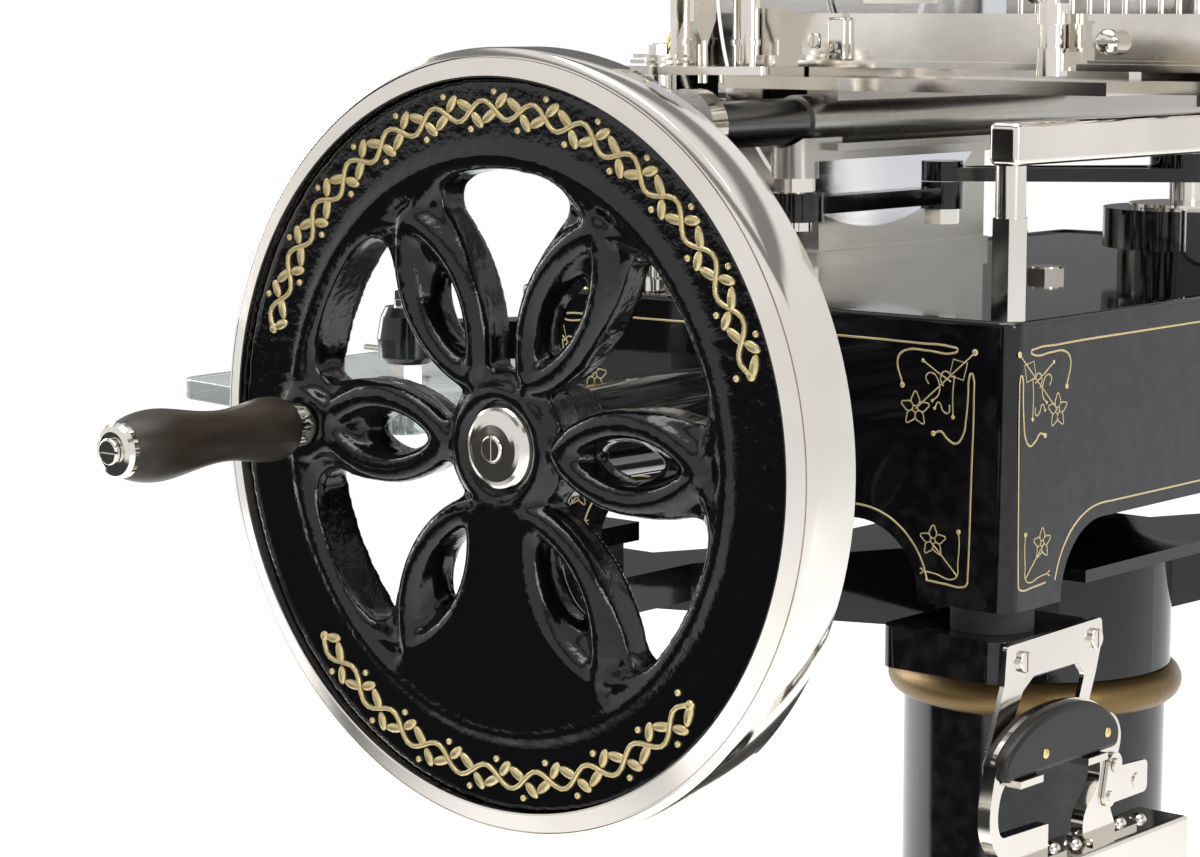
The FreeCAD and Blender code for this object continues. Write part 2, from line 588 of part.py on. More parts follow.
# Knife bevel on the axle and the cross shaft on the left, with their apex under the knife's axis.
knife_r = MODULE * KNIFE_TEETH / 2
cross_r = MODULE * CROSS_TEETH / 2
wheel_k = bevel_gear(KNIFE_TEETH, CROSS_TEETH, 18.0, 16.0, AXLE_R, FACE_W)
knife_bevel = place(wheel_k, ((1, 0, 0), -90), (0, BLADE_Y, WHEEL_Z))
save("axle_bevels", group([crank_bevel, knife_bevel]))
CROSS_R = 9.0
wheel_c = bevel_gear(CROSS_TEETH, KNIFE_TEETH, 14.0, 12.0, CROSS_R, FACE_W)
cross_bevel = place(wheel_c, ((0, 1, 0), 90), (0, BLADE_Y, WHEEL_Z))
CROSS_X0 = -HX2 + BASE_WALL + 2
cross_shaft = cyl_x(BLADE_Y, WHEEL_Z, CROSS_R, CROSS_X0, -(knife_r - FACE_W * knife_r / math.hypot(knife_r, cross_r)))


def sprocket(teeth, pitch, bore, x0, x1, y, z):
    """Chain sprocket with rounded gaps, axis along X."""
    radius = pitch / (2 * math.sin(math.pi / teeth))
    disc_x = cyl_x(y, z, radius + 2.2, x0, x1)
    gaps = []
    for k in range(teeth):
        a = 2 * math.pi * k / teeth
        gaps.append(cyl_x(y + radius * math.cos(a), z + radius * math.sin(a), pitch * 0.32, x0 - 1, x1 + 1))
    return tidy(disc_x.cut(gaps + [cyl_x(y, z, bore, x0 - 1, x1 + 1)]))


CHAIN_P = 8.0
LOW_TEETH = 24
HIGH_TEETH = 12
LOW_R = CHAIN_P / (2 * math.sin(math.pi / LOW_TEETH))
HIGH_R = CHAIN_P / (2 * math.sin(math.pi / HIGH_TEETH))
drive_sprocket = sprocket(LOW_TEETH, CHAIN_P, CROSS_R - 1, CHAIN_X - 2, CHAIN_X + 2, BLADE_Y, WHEEL_Z)
save("cross_shaft", group([join(cross_shaft, drive_sprocket), cross_bevel]))

cross_bearing = join(box(-92, -74, BLADE_Y - 22, BLADE_Y + 22, WHEEL_Z - 20, UNDER_Z),
                     box(-104, -62, BLADE_Y - 22, BLADE_Y + 22, UNDER_Z - 8, UNDER_Z))
cross_bearing = cross_bearing.cut(cyl_x(BLADE_Y, WHEEL_Z, CROSS_R + RUN, -110, -60))
rear_bearing = join(box(-20, 20, -34, -14, WHEEL_Z - 20, UNDER_Z), box(-34, 34, -34, -14, UNDER_Z - 8, UNDER_Z))
rear_bearing = rear_bearing.cut(cyl_y(0, WHEEL_Z, AXLE_R + RUN, -40, 0))
save("shaft_hangers", group([tidy(cross_bearing), tidy(rear_bearing)]))


def chain_loop(thickness, x0, x1, grow):
    """Closed loop of the chain's outline round the two sprockets."""
    low = LOW_R + grow
    high = HIGH_R + grow
    centre = BLADE_Z - WHEEL_Z
    lean = math.asin((low - high) / centre)

    def outline(extra):
        y_low = (low + extra) * math.cos(lean)
        z_low = WHEEL_Z + (low + extra) * math.sin(lean)
        y_high = (high + extra) * math.cos(lean)
        z_high = BLADE_Z + (high + extra) * math.sin(lean)
        edges = [Part.makeLine(Vector(x0, BLADE_Y + y_low, z_low), Vector(x0, BLADE_Y + y_high, z_high)),
                 Part.Arc(Vector(x0, BLADE_Y + y_high, z_high), Vector(x0, BLADE_Y, BLADE_Z + high + extra),
                          Vector(x0, BLADE_Y - y_high, z_high)).toShape(),
                 Part.makeLine(Vector(x0, BLADE_Y - y_high, z_high), Vector(x0, BLADE_Y - y_low, z_low)),
                 Part.Arc(Vector(x0, BLADE_Y - y_low, z_low), Vector(x0, BLADE_Y, WHEEL_Z - low - extra),
                          Vector(x0, BLADE_Y + y_low, z_low)).toShape()]
        return Part.Face(Part.Wire(edges)).extrude(Vector(x1 - x0, 0, 0))

    return outline(thickness).cut(outline(0))


save("knife_chain", tidy(chain_loop(4.0, CHAIN_X - 4.5, CHAIN_X + 4.5, 2.8)))


# ---------------------------------------------------------------- knife arm, spindle, blade and guard
def taper_plate(x0, x1, y_low, half_low, z_low, y_high, r_high, z_high):
    """Upright plate that narrows from a foot to a round boss."""
    dy = y_high - y_low
    dz = z_high - z_low
    points = [(x0, y_low - half_low, z_low), (x0, y_low + half_low, z_low), (x0, y_high + r_high, z_high - 10),
              (x0, y_high + r_high, z_high), (x0, y_high - r_high, z_high), (x0, y_high - r_high, z_high - 10)]
    plate = prism(points, (x1 - x0, 0, 0))
    return plate.fuse(cyl_x(y_high, z_high, r_high, x0, x1))


BOSS_R = 40.0
ARM_Y0 = -80.0             # foot of the knife arm
ARM_Y1 = 118.0
SHOULDER_Z = DECK_Z + 86.0
SHOULDER_R = 30.0
FLANGE_H = 10.0
arm = prism([(ARM_X0, ARM_Y0, TRAY_Z), (ARM_X0, ARM_Y1, TRAY_Z), (ARM_X0, ARM_Y1, SHOULDER_Z),
             (ARM_X0, BLADE_Y + BOSS_R, BLADE_Z), (ARM_X0, BLADE_Y - BOSS_R, BLADE_Z)], (ARM_X1 - ARM_X0, 0, 0))
arm = soften(arm, SHOULDER_R, lambda e: e.BoundBox.XLength > 1 and abs(e.CenterOfMass.z - SHOULDER_Z) < 1)
arm = arm.fuse(cyl_x(BLADE_Y, BLADE_Z, BOSS_R, ARM_X0, ARM_X1))
arm_foot = box(ARM_X0, ARM_X1 + 4, ARM_Y0 - 8, ARM_Y1, TRAY_Z, TRAY_Z + FLANGE_H)
bearing_tube = cyl_x(BLADE_Y, BLADE_Z, 24.0, ARM_X0 - 4, BLADE_X - 12)
knife_arm = arm.fuse([arm_foot, bearing_tube]).cut(cyl_x(BLADE_Y, BLADE_Z, SPINDLE_R + RUN, ARM_X0 - 10, 0))
save("knife_arm", tidy(knife_arm))

spindle_k = join(cyl_x(BLADE_Y, BLADE_Z, SPINDLE_R, CHAIN_X - 6, BLADE_X - BLADE_T),
                 cyl_x(BLADE_Y, BLADE_Z, 22.0, BLADE_X - BLADE_T - 7, BLADE_X - BLADE_T))
knife_sprocket = sprocket(HIGH_TEETH, CHAIN_P, SPINDLE_R - 1, CHAIN_X - 2, CHAIN_X + 2, BLADE_Y, BLADE_Z)
save("knife_spindle", join(spindle_k, knife_sprocket))
# The blade is dished: a flat cutting face on the carriage side, thin at the edge.
blade_profile = [(0, -BLADE_T), (60, -BLADE_T), (BLADE_R - 16, -2.6), (BLADE_R, -0.4), (BLADE_R, 0), (60, 0), (56, -1.2), (0, -1.2)]
blade = revolve(blade_profile, (BLADE_X, BLADE_Y, BLADE_Z), (1, 0, 0), (0, 0, 1))
hub_plate = cyl_x(BLADE_Y, BLADE_Z, 52.0, BLADE_X - 1.2, BLADE_X - 0.2)
screws = [cyl_x(BLADE_Y + 40 * math.cos(k * 2 * math.pi / 3), BLADE_Z + 40 * math.sin(k * 2 * math.pi / 3), 4.0,
                BLADE_X - 1.0, BLADE_X + 0.8) for k in range(3)]
save("blade", join(blade, hub_plate, *screws))

# The guard is a channelled ring behind the edge, open along the cutting side and notched for the sharpener.
GUARD_IN = BLADE_R + 3.0
GUARD_OUT = BLADE_R + 14.0
GUARD_FROM = 118.0         # its front end, degrees from the back over the top
GUARD_LOW = 1036.0         # its lower end clears the rocker arm
guard_ring = cyl_x(BLADE_Y, BLADE_Z, GUARD_OUT, BLADE_X - 14, BLADE_X + 3)
guard_ring = guard_ring.cut([cyl_x(BLADE_Y, BLADE_Z, GUARD_IN, BLADE_X - 9, BLADE_X + 0.8),
                             cyl_x(BLADE_Y, BLADE_Z, BLADE_R - 12, BLADE_X - 20, BLADE_X - 8),
                             cyl_x(BLADE_Y, BLADE_Z, BLADE_R - 3, BLADE_X, BLADE_X + 10)])
back_plate = cyl_x(BLADE_Y, BLADE_Z, GUARD_OUT, BLADE_X - 17, BLADE_X - 14)
back_plate = back_plate.cut(cyl_x(BLADE_Y, BLADE_Z, BLADE_R - 22, BLADE_X - 30, BLADE_X))
mouth_rim = [(BLADE_X - 30, BLADE_Y + 400 * math.cos(math.radians(a)), BLADE_Z + 400 * math.sin(math.radians(a)))
             for a in (GUARD_FROM, 150, 180, 210, 240, 262)]
mouth = prism(mouth_rim + [(BLADE_X - 30, BLADE_Y, BLADE_Z)], (60, 0, 0))
low_cut = box(BLADE_X - 40, BLADE_X + 40, BLADE_Y - 200, BLADE_Y + 200, DECK_Z - 40, GUARD_LOW)
NOTCH_W = 20.0
notch = box(BLADE_X - 14, BLADE_X + 10, BLADE_Y - NOTCH_W, BLADE_Y + NOTCH_W, BLADE_Z + 140, BLADE_Z + 200)
spokes = []
for a in (90.0, 35.0, 350.0):
    spoke = box(BLADE_X - 22, BLADE_X - 17, -11, 11, 40, BLADE_R + 10)
    spoke.rotate(Vector(0, 0, 0), Vector(1, 0, 0), a - 90)
    spoke.translate(Vector(0, BLADE_Y, BLADE_Z))
    spokes.append(spoke)
collar = cyl_x(BLADE_Y, BLADE_Z, 46.0, BLADE_X - 22, BLADE_X - 17)
collar = collar.cut(cyl_x(BLADE_Y, BLADE_Z, 24.0, BLADE_X - 40, BLADE_X))
guard = guard_ring.cut([mouth, low_cut, notch]).fuse([back_plate.cut([mouth, low_cut]), collar] + spokes)
# Lug for the brass stay near the top of the ring.
STAY_X = BLADE_X - 31.0
STAY_TOP_Y = BLADE_Y - 52.7
STAY_TOP_Z = BLADE_Z + 166.0
stay_lug = box(STAY_X - 5, BLADE_X - 17, STAY_TOP_Y - 7, STAY_TOP_Y + 7, STAY_TOP_Z - 7, STAY_TOP_Z + 7)

# Chain case: a closed cover outside the arm from the deck to the spindle.
case_x0 = ARM_X0 - 26.0
case = taper_plate(case_x0, ARM_X0, BLADE_Y, 50.0, TRAY_Z, BLADE_Y, HIGH_R + 18, BLADE_Z)
hollow = taper_plate(case_x0 + 3, ARM_X0 + 1, BLADE_Y, 45.0, TRAY_Z - 1, BLADE_Y, HIGH_R + 13, BLADE_Z)
save("chain_case", tidy(case.cut(hollow)))

# ---------------------------------------------------------------- gauge plate and thickness lever
GAUGE_X = BLADE_X - 1.0
GAUGE_T = 5.0
GAUGE_Y0 = -258.0
GAUGE_Z0 = TRAY_Z + 34.0
GAUGE_Z1 = BLADE_Z + 96.0
gauge = box(GAUGE_X - GAUGE_T, GAUGE_X, GAUGE_Y0, BLADE_Y - 60, GAUGE_Z0, GAUGE_Z1)
gauge = soften(gauge, 14.0, lambda e: e.Length < 6 and e.CenterOfMass.y < GAUGE_Y0 + 1)
gauge = gauge.cut(cyl_x(BLADE_Y, BLADE_Z, BLADE_R + 2.5, GAUGE_X - 20, GAUGE_X + 20))
gauge = max(gauge.Solids, key=lambda solid: solid.Volume)
GROD_Z = TRAY_Z + 20.0
GROD_R = 5.0
GROD_Y = (-232.0, -196.0)
rods = [cyl_x(y, GROD_Z, GROD_R, -170, -70) for y in GROD_Y]
blocks = []
for x0, x1 in ((-176.0, -165.0), (-75.0, -64.0)):
    blocks.append(box(x0, x1, -246, -182, TRAY_Z, GROD_Z + 9))
save("gauge_rails", join(*(rods + blocks)))
foot = box(GAUGE_X - 34, GAUGE_X, -244, -184, GROD_Z - 9, GROD_Z + 9)
upright = box(GAUGE_X - GAUGE_T - 8, GAUGE_X - GAUGE_T, -237, -221, GROD_Z + 8, BLADE_Z + 60)
web = box(GAUGE_X - GAUGE_T - 8, GAUGE_X - GAUGE_T, -244, -184, GROD_Z + 8, GROD_Z + 22)
gauge_bracket = foot.fuse([upright, web]).cut([cyl_x(y, GROD_Z, GROD_R + RUN, -200, 0) for y in GROD_Y])
gauge_bracket = tidy(gauge_bracket)

# Thickness post at the deck's front corner; its lever shifts the gauge plate through a pin in a slot.
POST_X = -92.0
POST_YY = -291.0
LEVER_Z = DECK_Z + 132.0
LEVER_T = 5.0
GPIN_R = 3.0
GPIN_Y = POST_YY + 43.0    # pin behind the post
thickness_post = join(cyl_z(POST_X, POST_YY, 17.0, TRAY_Z, TRAY_Z + 9), cyl_z(POST_X, POST_YY, 9.0, TRAY_Z, LEVER_Z - SLIT),
                      cyl_z(POST_X, POST_YY, 5.0, LEVER_Z - 2.0, LEVER_Z + 19.0))


def arm_plate(x0, y0, r0, x1, y1, r1, z0, z1):
    """Flat link between two round ends."""
    dx = x1 - x0
    dy = y1 - y0
    length = math.hypot(dx, dy)
    ux, uy = dx / length, dy / length
    lean = (r0 - r1) / length
    side = math.sqrt(1 - lean * lean)

    def tangent(cx, cy, r, s):
        return (cx + r * (ux * lean - s * uy * side), cy + r * (uy * lean + s * ux * side), z0)

    flat = prism([tangent(x0, y0, r0, 1), tangent(x1, y1, r1, 1), tangent(x1, y1, r1, -1), tangent(x0, y0, r0, -1)],
                 (0, 0, z1 - z0))
    return flat.fuse([cyl_z(x0, y0, r0, z0, z1), cyl_z(x1, y1, r1, z0, z1)])


LEVER_Z1 = LEVER_Z + LEVER_T
lever = arm_plate(POST_X, POST_YY, 13.0, POST_X, GPIN_Y, 7.0, LEVER_Z, LEVER_Z1)
lever = lever.fuse([arm_plate(POST_X, POST_YY, 13.0, POST_X + 52, POST_YY + 32, 7.0, LEVER_Z, LEVER_Z1),
                    arm_plate(POST_X, POST_YY, 13.0, POST_X - 31, POST_YY - 9, 7.0, LEVER_Z, LEVER_Z1)])
pin_slot = arm_plate(POST_X, GPIN_Y - 1.5, GPIN_R + 0.5, POST_X, GPIN_Y + 2.5, GPIN_R + 0.5, LEVER_Z - 5, LEVER_Z1 + 5)
lever = lever.cut([cyl_z(POST_X, POST_YY, 5.0 + RUN, LEVER_Z - 5, LEVER_Z + 10), pin_slot])
save("thickness_lever", tidy(lever))
disc_z = LEVER_Z1 + 2.0
discs = cyl_z(POST_X, POST_YY, 20.5, disc_z, disc_z + 1.8)
discs = discs.fuse([cyl_z(POST_X, POST_YY, 9.0, LEVER_Z1 + GAP, disc_z + 5), cyl_z(POST_X, POST_YY, 18.5, disc_z + 3.4, disc_z + 5.2)])
discs = discs.fuse(hex_z(POST_X, POST_YY, 11.0, disc_z + 5, LEVER_Z + 18.0))
save("thickness_post", group([thickness_post, tidy(discs.cut(cyl_z(POST_X, POST_YY, 5.0, LEVER_Z, LEVER_Z + 30)))]))
# The pin widens into a flat blade that is held off the gauge plate by two distance pieces.
blade_z0 = LEVER_Z + 20.0
pin_blade = box(POST_X - 1.5, POST_X + 1.5, GPIN_Y - 11, GPIN_Y + 11, blade_z0 + 12, blade_z0 + 110)
pin_neck = prism([(POST_X - 1.5, GPIN_Y - 3, blade_z0 - 2), (POST_X - 1.5, GPIN_Y + 3, blade_z0 - 2),
                  (POST_X - 1.5, GPIN_Y + 11, blade_z0 + 13), (POST_X - 1.5, GPIN_Y - 11, blade_z0 + 13)], (3, 0, 0))
distances = [cyl_x(GPIN_Y, z, 5.0, GAUGE_X, POST_X) for z in (blade_z0 + 60, blade_z0 + 100)]
gauge_pin = join(gauge, cyl_z(POST_X, GPIN_Y, GPIN_R, LEVER_Z - 6, blade_z0), pin_neck, pin_blade, *distances)
save("gauge_plate", group([gauge_pin, gauge_bracket]))
# Brass stay from a pillar on the deck's corner up to the guard.
STAY_SLOPE = 1.64
STAY_R = 2.4
stay_dir = Vector(0, 1, STAY_SLOPE)
stay_dir.normalize()
stay_top = Vector(STAY_X, STAY_TOP_Y, STAY_TOP_Z)
STAY_FOOT_Y = -291.0
stay_len = (STAY_TOP_Y - STAY_FOOT_Y) / stay_dir.y
stay_foot = stay_top - stay_dir * stay_len
guard_stay = Part.makeCylinder(STAY_R, stay_len - 7, stay_foot, stay_dir)
pillar = join(cyl_z(STAY_X, STAY_FOOT_Y, 14.0, TRAY_Z, TRAY_Z + 6), cyl_z(STAY_X, STAY_FOOT_Y, 7.0, TRAY_Z, stay_foot.z + 3))
guard_stay = guard_stay.cut(box(STAY_X - 30, STAY_X + 30, STAY_TOP_Y - 7, STAY_TOP_Y + 50, STAY_TOP_Z - 7, STAY_TOP_Z + 50))
save("guard_stay", join(guard_stay, pillar))

# ---------------------------------------------------------------- sharpener over the guard's notch
GUIDE_X1 = BLADE_X - 22.0
sharpener_post = join(box(GUIDE_X1 - 12, GUIDE_X1, BLADE_Y - 12, BLADE_Y + 12, BLADE_Z + 90, BLADE_Z + 262),
                      cyl_z(GUIDE_X1 - 6, BLADE_Y, 10.0, BLADE_Z + 262, BLADE_Z + 268))
save("blade_guard", tidy(guard.fuse([stay_lug, sharpener_post])))
HOOD_Z0 = BLADE_Z + 196.0
HOOD_Z1 = HOOD_Z0 + 34.0
HOOD_X0 = GUIDE_X1 + SLIT
HOOD_X1 = BLADE_X + 14.0
HOOD_HALF = 26.0
hood = box(HOOD_X0, HOOD_X1, BLADE_Y - HOOD_HALF, BLADE_Y + HOOD_HALF, HOOD_Z0, HOOD_Z1)
hood = soften(hood, 5.0, lambda e: e.BoundBox.ZMin > HOOD_Z1 - 0.1)
hood = hood.cut(box(HOOD_X0 + 4, HOOD_X1 - 4, BLADE_Y - HOOD_HALF + 4, BLADE_Y + HOOD_HALF - 4, HOOD_Z0 - 1, HOOD_Z1 - 5))
cheeks = [box(GUIDE_X1 - 12 - 5, HOOD_X0 + 1, BLADE_Y + s * (12 + SLIT) + min(0, s * 6), BLADE_Y + s * (12 + SLIT) + max(0, s * 6),
              HOOD_Z0 + 6, HOOD_Z1 - 4) for s in (-1, 1)]
rear_bar = box(GUIDE_X1 - 12 - 5, GUIDE_X1 - 12 - SLIT, BLADE_Y - 18, BLADE_Y + 18, HOOD_Z0 + 6, HOOD_Z1 - 4)
STONE_Z = BLADE_Z + BLADE_R + 19.0
STONE_R = 13.0
HANGER_X = (BLADE_X - 13.6, BLADE_X - 10.4)
hanger = box(HANGER_X[0], HANGER_X[1], BLADE_Y - 6, BLADE_Y + 6, STONE_Z - 7, HOOD_Z1 - 4)
hanger = hanger.cut(cyl_x(BLADE_Y, STONE_Z, 3.0 + RUN, HOOD_X0 - 5, BLADE_X))
stone = join(cyl_x(BLADE_Y, STONE_Z, STONE_R, BLADE_X - 8, BLADE_X - 2), cyl_x(BLADE_Y, STONE_Z, 6.0, HANGER_X[1] + SLIT, BLADE_X - 7),
             cyl_x(BLADE_Y, STONE_Z, 3.0, HANGER_X[0], BLADE_X - 7))
save("sharpening_stone", stone)
knob = revolve([(0, 0), (4, 0), (4, 12), (9, 14), (11, 19), (9, 25), (0, 27)],
               ((HOOD_X0 + HOOD_X1) / 2, BLADE_Y, HOOD_Z1), (0, 0, 1), (1, 0, 0))
save("sharpener_hood", tidy(hood.fuse([hanger, rear_bar, knob] + cheeks)))

# ---------------------------------------------------------------- guide rod, outer rail and rocker
REAR_POST_Y = HY2 - 15.0
save("guide_rod", cyl_y(ROD_X, ROD_Z, ROD_R, -HY2, HY2))
front_bracket = join(cyl_y(ROD_X, ROD_Z, ROD_R + 8, -HY2 + 0.5, -HY2 + 15.0),
                     box(ROD_X - 14, ROD_X + 14, -HY2 + 0.5, -HY2 + 15.0, TRAY_Z, ROD_Z),
                     box(ROD_X - 21, ROD_X + 21, -HY2 + 9.5, -HY2 + 40, TRAY_Z, TRAY_Z + 10))
front_bracket = front_bracket.cut([cyl_y(ROD_X, ROD_Z, ROD_R, -HY2 - 5, -HY2 + 40),
                                   box(ROD_X - 50, ROD_X + 50, -HY2 - 5, -HY2 + 9.5, TRAY_Z - 5, DECK_Z + 0.5)])
WEB_T = 9.0
rear_bracket = join(box(ROD_X - WEB_T / 2, ROD_X + WEB_T / 2, REAR_POST_Y - 6, REAR_POST_Y + 6, TRAY_Z, ROD_Z),
                    box(ROD_X - 30, ROD_X + 30, REAR_POST_Y - 20, REAR_POST_Y + 6, TRAY_Z, TRAY_Z + 10))
rear_bracket = rear_bracket.cut(cyl_y(ROD_X, ROD_Z, ROD_R, 0, HY2 + 10))
save("rod_brackets", group([tidy(front_bracket), tidy(rear_bracket)]))

rail = box(RAIL_X - RAIL_W / 2, RAIL_X + RAIL_W / 2, -RAIL_L / 2, RAIL_L / 2, RAIL_Z - RAIL_H / 2, RAIL_Z + RAIL_H / 2)
rail = rail.makeFillet(4.0, rail.Edges)
save("outer_rail", rail)
RAIL_LOW = RAIL_Z - RAIL_H / 2
posts = []
for y in (POST_INSET - RAIL_L / 2, RAIL_L / 2 - POST_INSET):
    hexed = hex_z(RAIL_X, y, POST_AF, DECK_Z, DECK_Z + 57)
    posts.append(join(hexed, cyl_z(RAIL_X, y, POST_R, DECK_Z + 56, RAIL_LOW)))
save("rail_posts", group(posts))

SLOTTED_Z1 = DISC_Z0 - ROLLER_H - 0.5
SLOTTED_Z0 = SLOTTED_Z1 - 10.0
ARM_Z0 = LINK_Z1 + 0.6
ARM_Z1 = ARM_Z0 + 13.0
rocker_shaft = cyl_z(ROCK_X, ROCK_Y, ROCK_R, SLOTTED_Z0 - 2, ARM_Z1 + 12)
collar_r = 55.0
rocker_collar = cyl_z(ROCK_X, ROCK_Y, collar_r, COLLAR_Z0, COLLAR_Z1)
split = box(ROCK_X, ROCK_X + 90, ROCK_Y - 2, ROCK_Y + 2, COLLAR_Z0 - 5, COLLAR_Z1 + 5)
split.rotate(Vector(ROCK_X, ROCK_Y, 0), Vector(0, 0, 1), -62)
rocker_collar = rocker_collar.cut([cyl_z(ROCK_X, ROCK_Y, ROCK_R, 0, 2000), split])
save("rocker_collar", tidy(rocker_collar))
save("rocker_shaft", join(rocker_shaft, cyl_z(ROCK_X, ROCK_Y, 38.0, COLLAR_Z1, COLLAR_Z1 + 3)))


def rest_boss():
    """Outer end of the rocker arm at rest, over the connecting rod's far eye."""
    a = math.radians(180 + ROCK_DEG)
    return ROCK_X + ROCK_L * math.cos(a), ROCK_Y + ROCK_L * math.sin(a)


BX, BY = rest_boss()
arm_top = arm_plate(ROCK_X, ROCK_Y, 25.0, BX, BY, EYE_R, ARM_Z0, ARM_Z0 + 9)
arm_top = arm_top.fuse([cyl_z(ROCK_X, ROCK_Y, 25.0, ARM_Z0, ARM_Z1 + 6), cyl_z(BX, BY, EYE_R, ARM_Z0, ARM_Z1)])
trough = arm_plate(ROCK_X, ROCK_Y, 15.0, BX, BY, 8.0, ARM_Z0 + 5, ARM_Z0 + 20)
keep = [cyl_z(ROCK_X, ROCK_Y, 27.0, ARM_Z0, ARM_Z1 + 8), cyl_z(BX, BY, EYE_R + 2, ARM_Z0, ARM_Z1 + 8)]
arm_top = arm_top.cut([trough.cut(keep), cyl_z(ROCK_X, ROCK_Y, ROCK_R, 0, 2000)])
save("rocker_arm", tidy(arm_top))

# Slotted lever under the deck: its slot takes the crank's roller.
lever_a = math.atan2(PIN_Y - ROCK_Y, PIN_X - ROCK_X)
slot_r1 = ROCK_X + CRANK_THROW + ROLLER_R + 3
lever_end = slot_r1 + 9


def along(r):
    return ROCK_X + r * math.cos(lever_a), ROCK_Y + r * math.sin(lever_a)


ex, ey = along(lever_end - 18)
slotted = arm_plate(ROCK_X, ROCK_Y, 20.0, ex, ey, 17.0, SLOTTED_Z0, SLOTTED_Z1)
s0x, s0y = along(26.0)
s1x, s1y = along(slot_r1 - ROLLER_R)
slot = arm_plate(s0x, s0y, ROLLER_R + SLIT, s1x + 0.001, s1y, ROLLER_R + SLIT, SLOTTED_Z0 - 5, SLOTTED_Z1 + 5)
slotted = slotted.cut([slot, cyl_z(ROCK_X, ROCK_Y, ROCK_R, 0, 2000)])
save("slotted_lever", tidy(slotted))

# ---------------------------------------------------------------- carriage
SADDLE_Y1 = SADDLE_Y + SADDLE_L
BORE_R = ROD_R + RUN
RELIEF_R = ROD_R + 0.8       # bore between the two bearing lengths
tube = cyl_y(ROD_X, ROD_Z, SADDLE_R, SADDLE_Y, SADDLE_Y1)
ledge = box(ROD_X - 22, ROD_X + 22, SADDLE_Y + 16, SADDLE_Y1 - 40, ROD_Z - SADDLE_R - 1.5, ROD_Z - SADDLE_R + 3.0)
rib = box(ROD_X - 11, ROD_X + 11, SADDLE_Y + 26, SADDLE_Y + 225, ROD_Z - SADDLE_R - 8, ROD_Z - SADDLE_R)
pad = box(ROD_X - 12, ROD_X + 12, -180, 96, ROD_Z + SADDLE_R - 4, BED_Z - BED_T)
LUG_TOP = ROD_Z - 10.0
LUG_LOW = LINK_Z1 + 9.0
lug = cyl_z(ROD_X, LUG_Y, 15.0, LUG_LOW, LUG_TOP).fuse(box(ROD_X - 15, ROD_X + 15, LUG_Y, SADDLE_Y + 30, ROD_Z - SADDLE_R - 8, ROD_Z - 10))
lug = lug.cut(cyl_y(ROD_X, ROD_Z, SADDLE_R - 0.5, SADDLE_Y - 100, SADDLE_Y + 100))
TRAVEL = 2 * ROCK_L * math.sin(math.radians(ROCK_DEG))
SLOT_Y0 = REAR_POST_Y - 6 - TRAVEL - 4
PIN_R = 7.0
slot_cut = box(ROD_X - WEB_T / 2 - 2.5, ROD_X + WEB_T / 2 + 2.5, SLOT_Y0, SADDLE_Y1 + 5, ROD_Z - 60, ROD_Z)
saddle = tube.fuse([ledge, rib, pad, lug])
saddle = saddle.cut([cyl_y(ROD_X, ROD_Z, BORE_R, SADDLE_Y - 5, SADDLE_Y1 + 5), slot_cut,
                     cyl_y(ROD_X, ROD_Z, RELIEF_R, SADDLE_Y + BUSH_L, SLOT_Y0 - BUSH_L),
                     cyl_z(ROD_X, LUG_Y, PIN_R, LUG_LOW - 5, LUG_TOP + 20)])
save("carriage_saddle", tidy(saddle))
lug_pin = join(cyl_z(ROD_X, LUG_Y, PIN_R, LINK_Z0 - 6, ROD_Z - ROD_R - 2.5), hex_z(ROD_X, LUG_Y, 24.0, LINK_Z1 + 0.5, LUG_LOW),
               cyl_z(ROD_X, LUG_Y, 11.0, LINK_Z0 - 6, LINK_Z0 - 0.5))
save("lug_pin", lug_pin)

cheek = box(-86, -80, -240, 108, ROD_Z + 6, BEAM_Z0 - SLIT)
cheek = soften(cheek, 12.0, lambda e: abs(e.Vertexes[0].X - e.Vertexes[-1].X) > 3 and e.CenterOfMass.z < ROD_Z + 7)
BED_X1 = 158.0
WAY_TOP = 1112.0           # top of the ways that carry the meat table
WAY_HALF = 7.0
WAYS_Y = (-150.0, 74.0)
ROLL_R = 9.5
ROLL_Y = -72.0
ROLL_Z = RAIL_Z + RAIL_H / 2 + ROLL_R + RUN
bed = box(-81, BED_X1, -182, 100, BED_Z - BED_T, BED_Z)
outrigger = box(BED_X1 - 5, 192, -130, 20, BED_Z - BED_T, BED_Z)
ways = [box(-78, BED_X1, y - WAY_HALF, y + WAY_HALF, BED_Z - 1, WAY_TOP) for y in WAYS_Y]
yoke = [box(RAIL_X + x0, RAIL_X + x1, ROLL_Y - 9, ROLL_Y + 9, ROLL_Z - 7, BED_Z - 1) for x0, x1 in ((-13, -9), (9, 13))]
ROLL_PIN_R = 4.0
roll_pin = cyl_x(ROLL_Y, ROLL_Z, ROLL_PIN_R, RAIL_X - 15, RAIL_X + 15)
cross_bed = cheek.fuse([bed, outrigger] + ways)
cross_bed = cross_bed.cut(box(RAIL_X - 9, RAIL_X + 9, ROLL_Y - ROLL_R - 2, ROLL_Y + ROLL_R + 2, 1070, BED_Z + 1))
cross_bed = cross_bed.fuse(yoke + [roll_pin])
save("cross_bed", tidy(cross_bed))
roller = cyl_x(ROLL_Y, ROLL_Z, ROLL_R, RAIL_X - 8.5, RAIL_X + 8.5)
save("rail_roller", roller.cut(cyl_x(ROLL_Y, ROLL_Z, ROLL_PIN_R + RUN, RAIL_X - 20, RAIL_X + 20)))

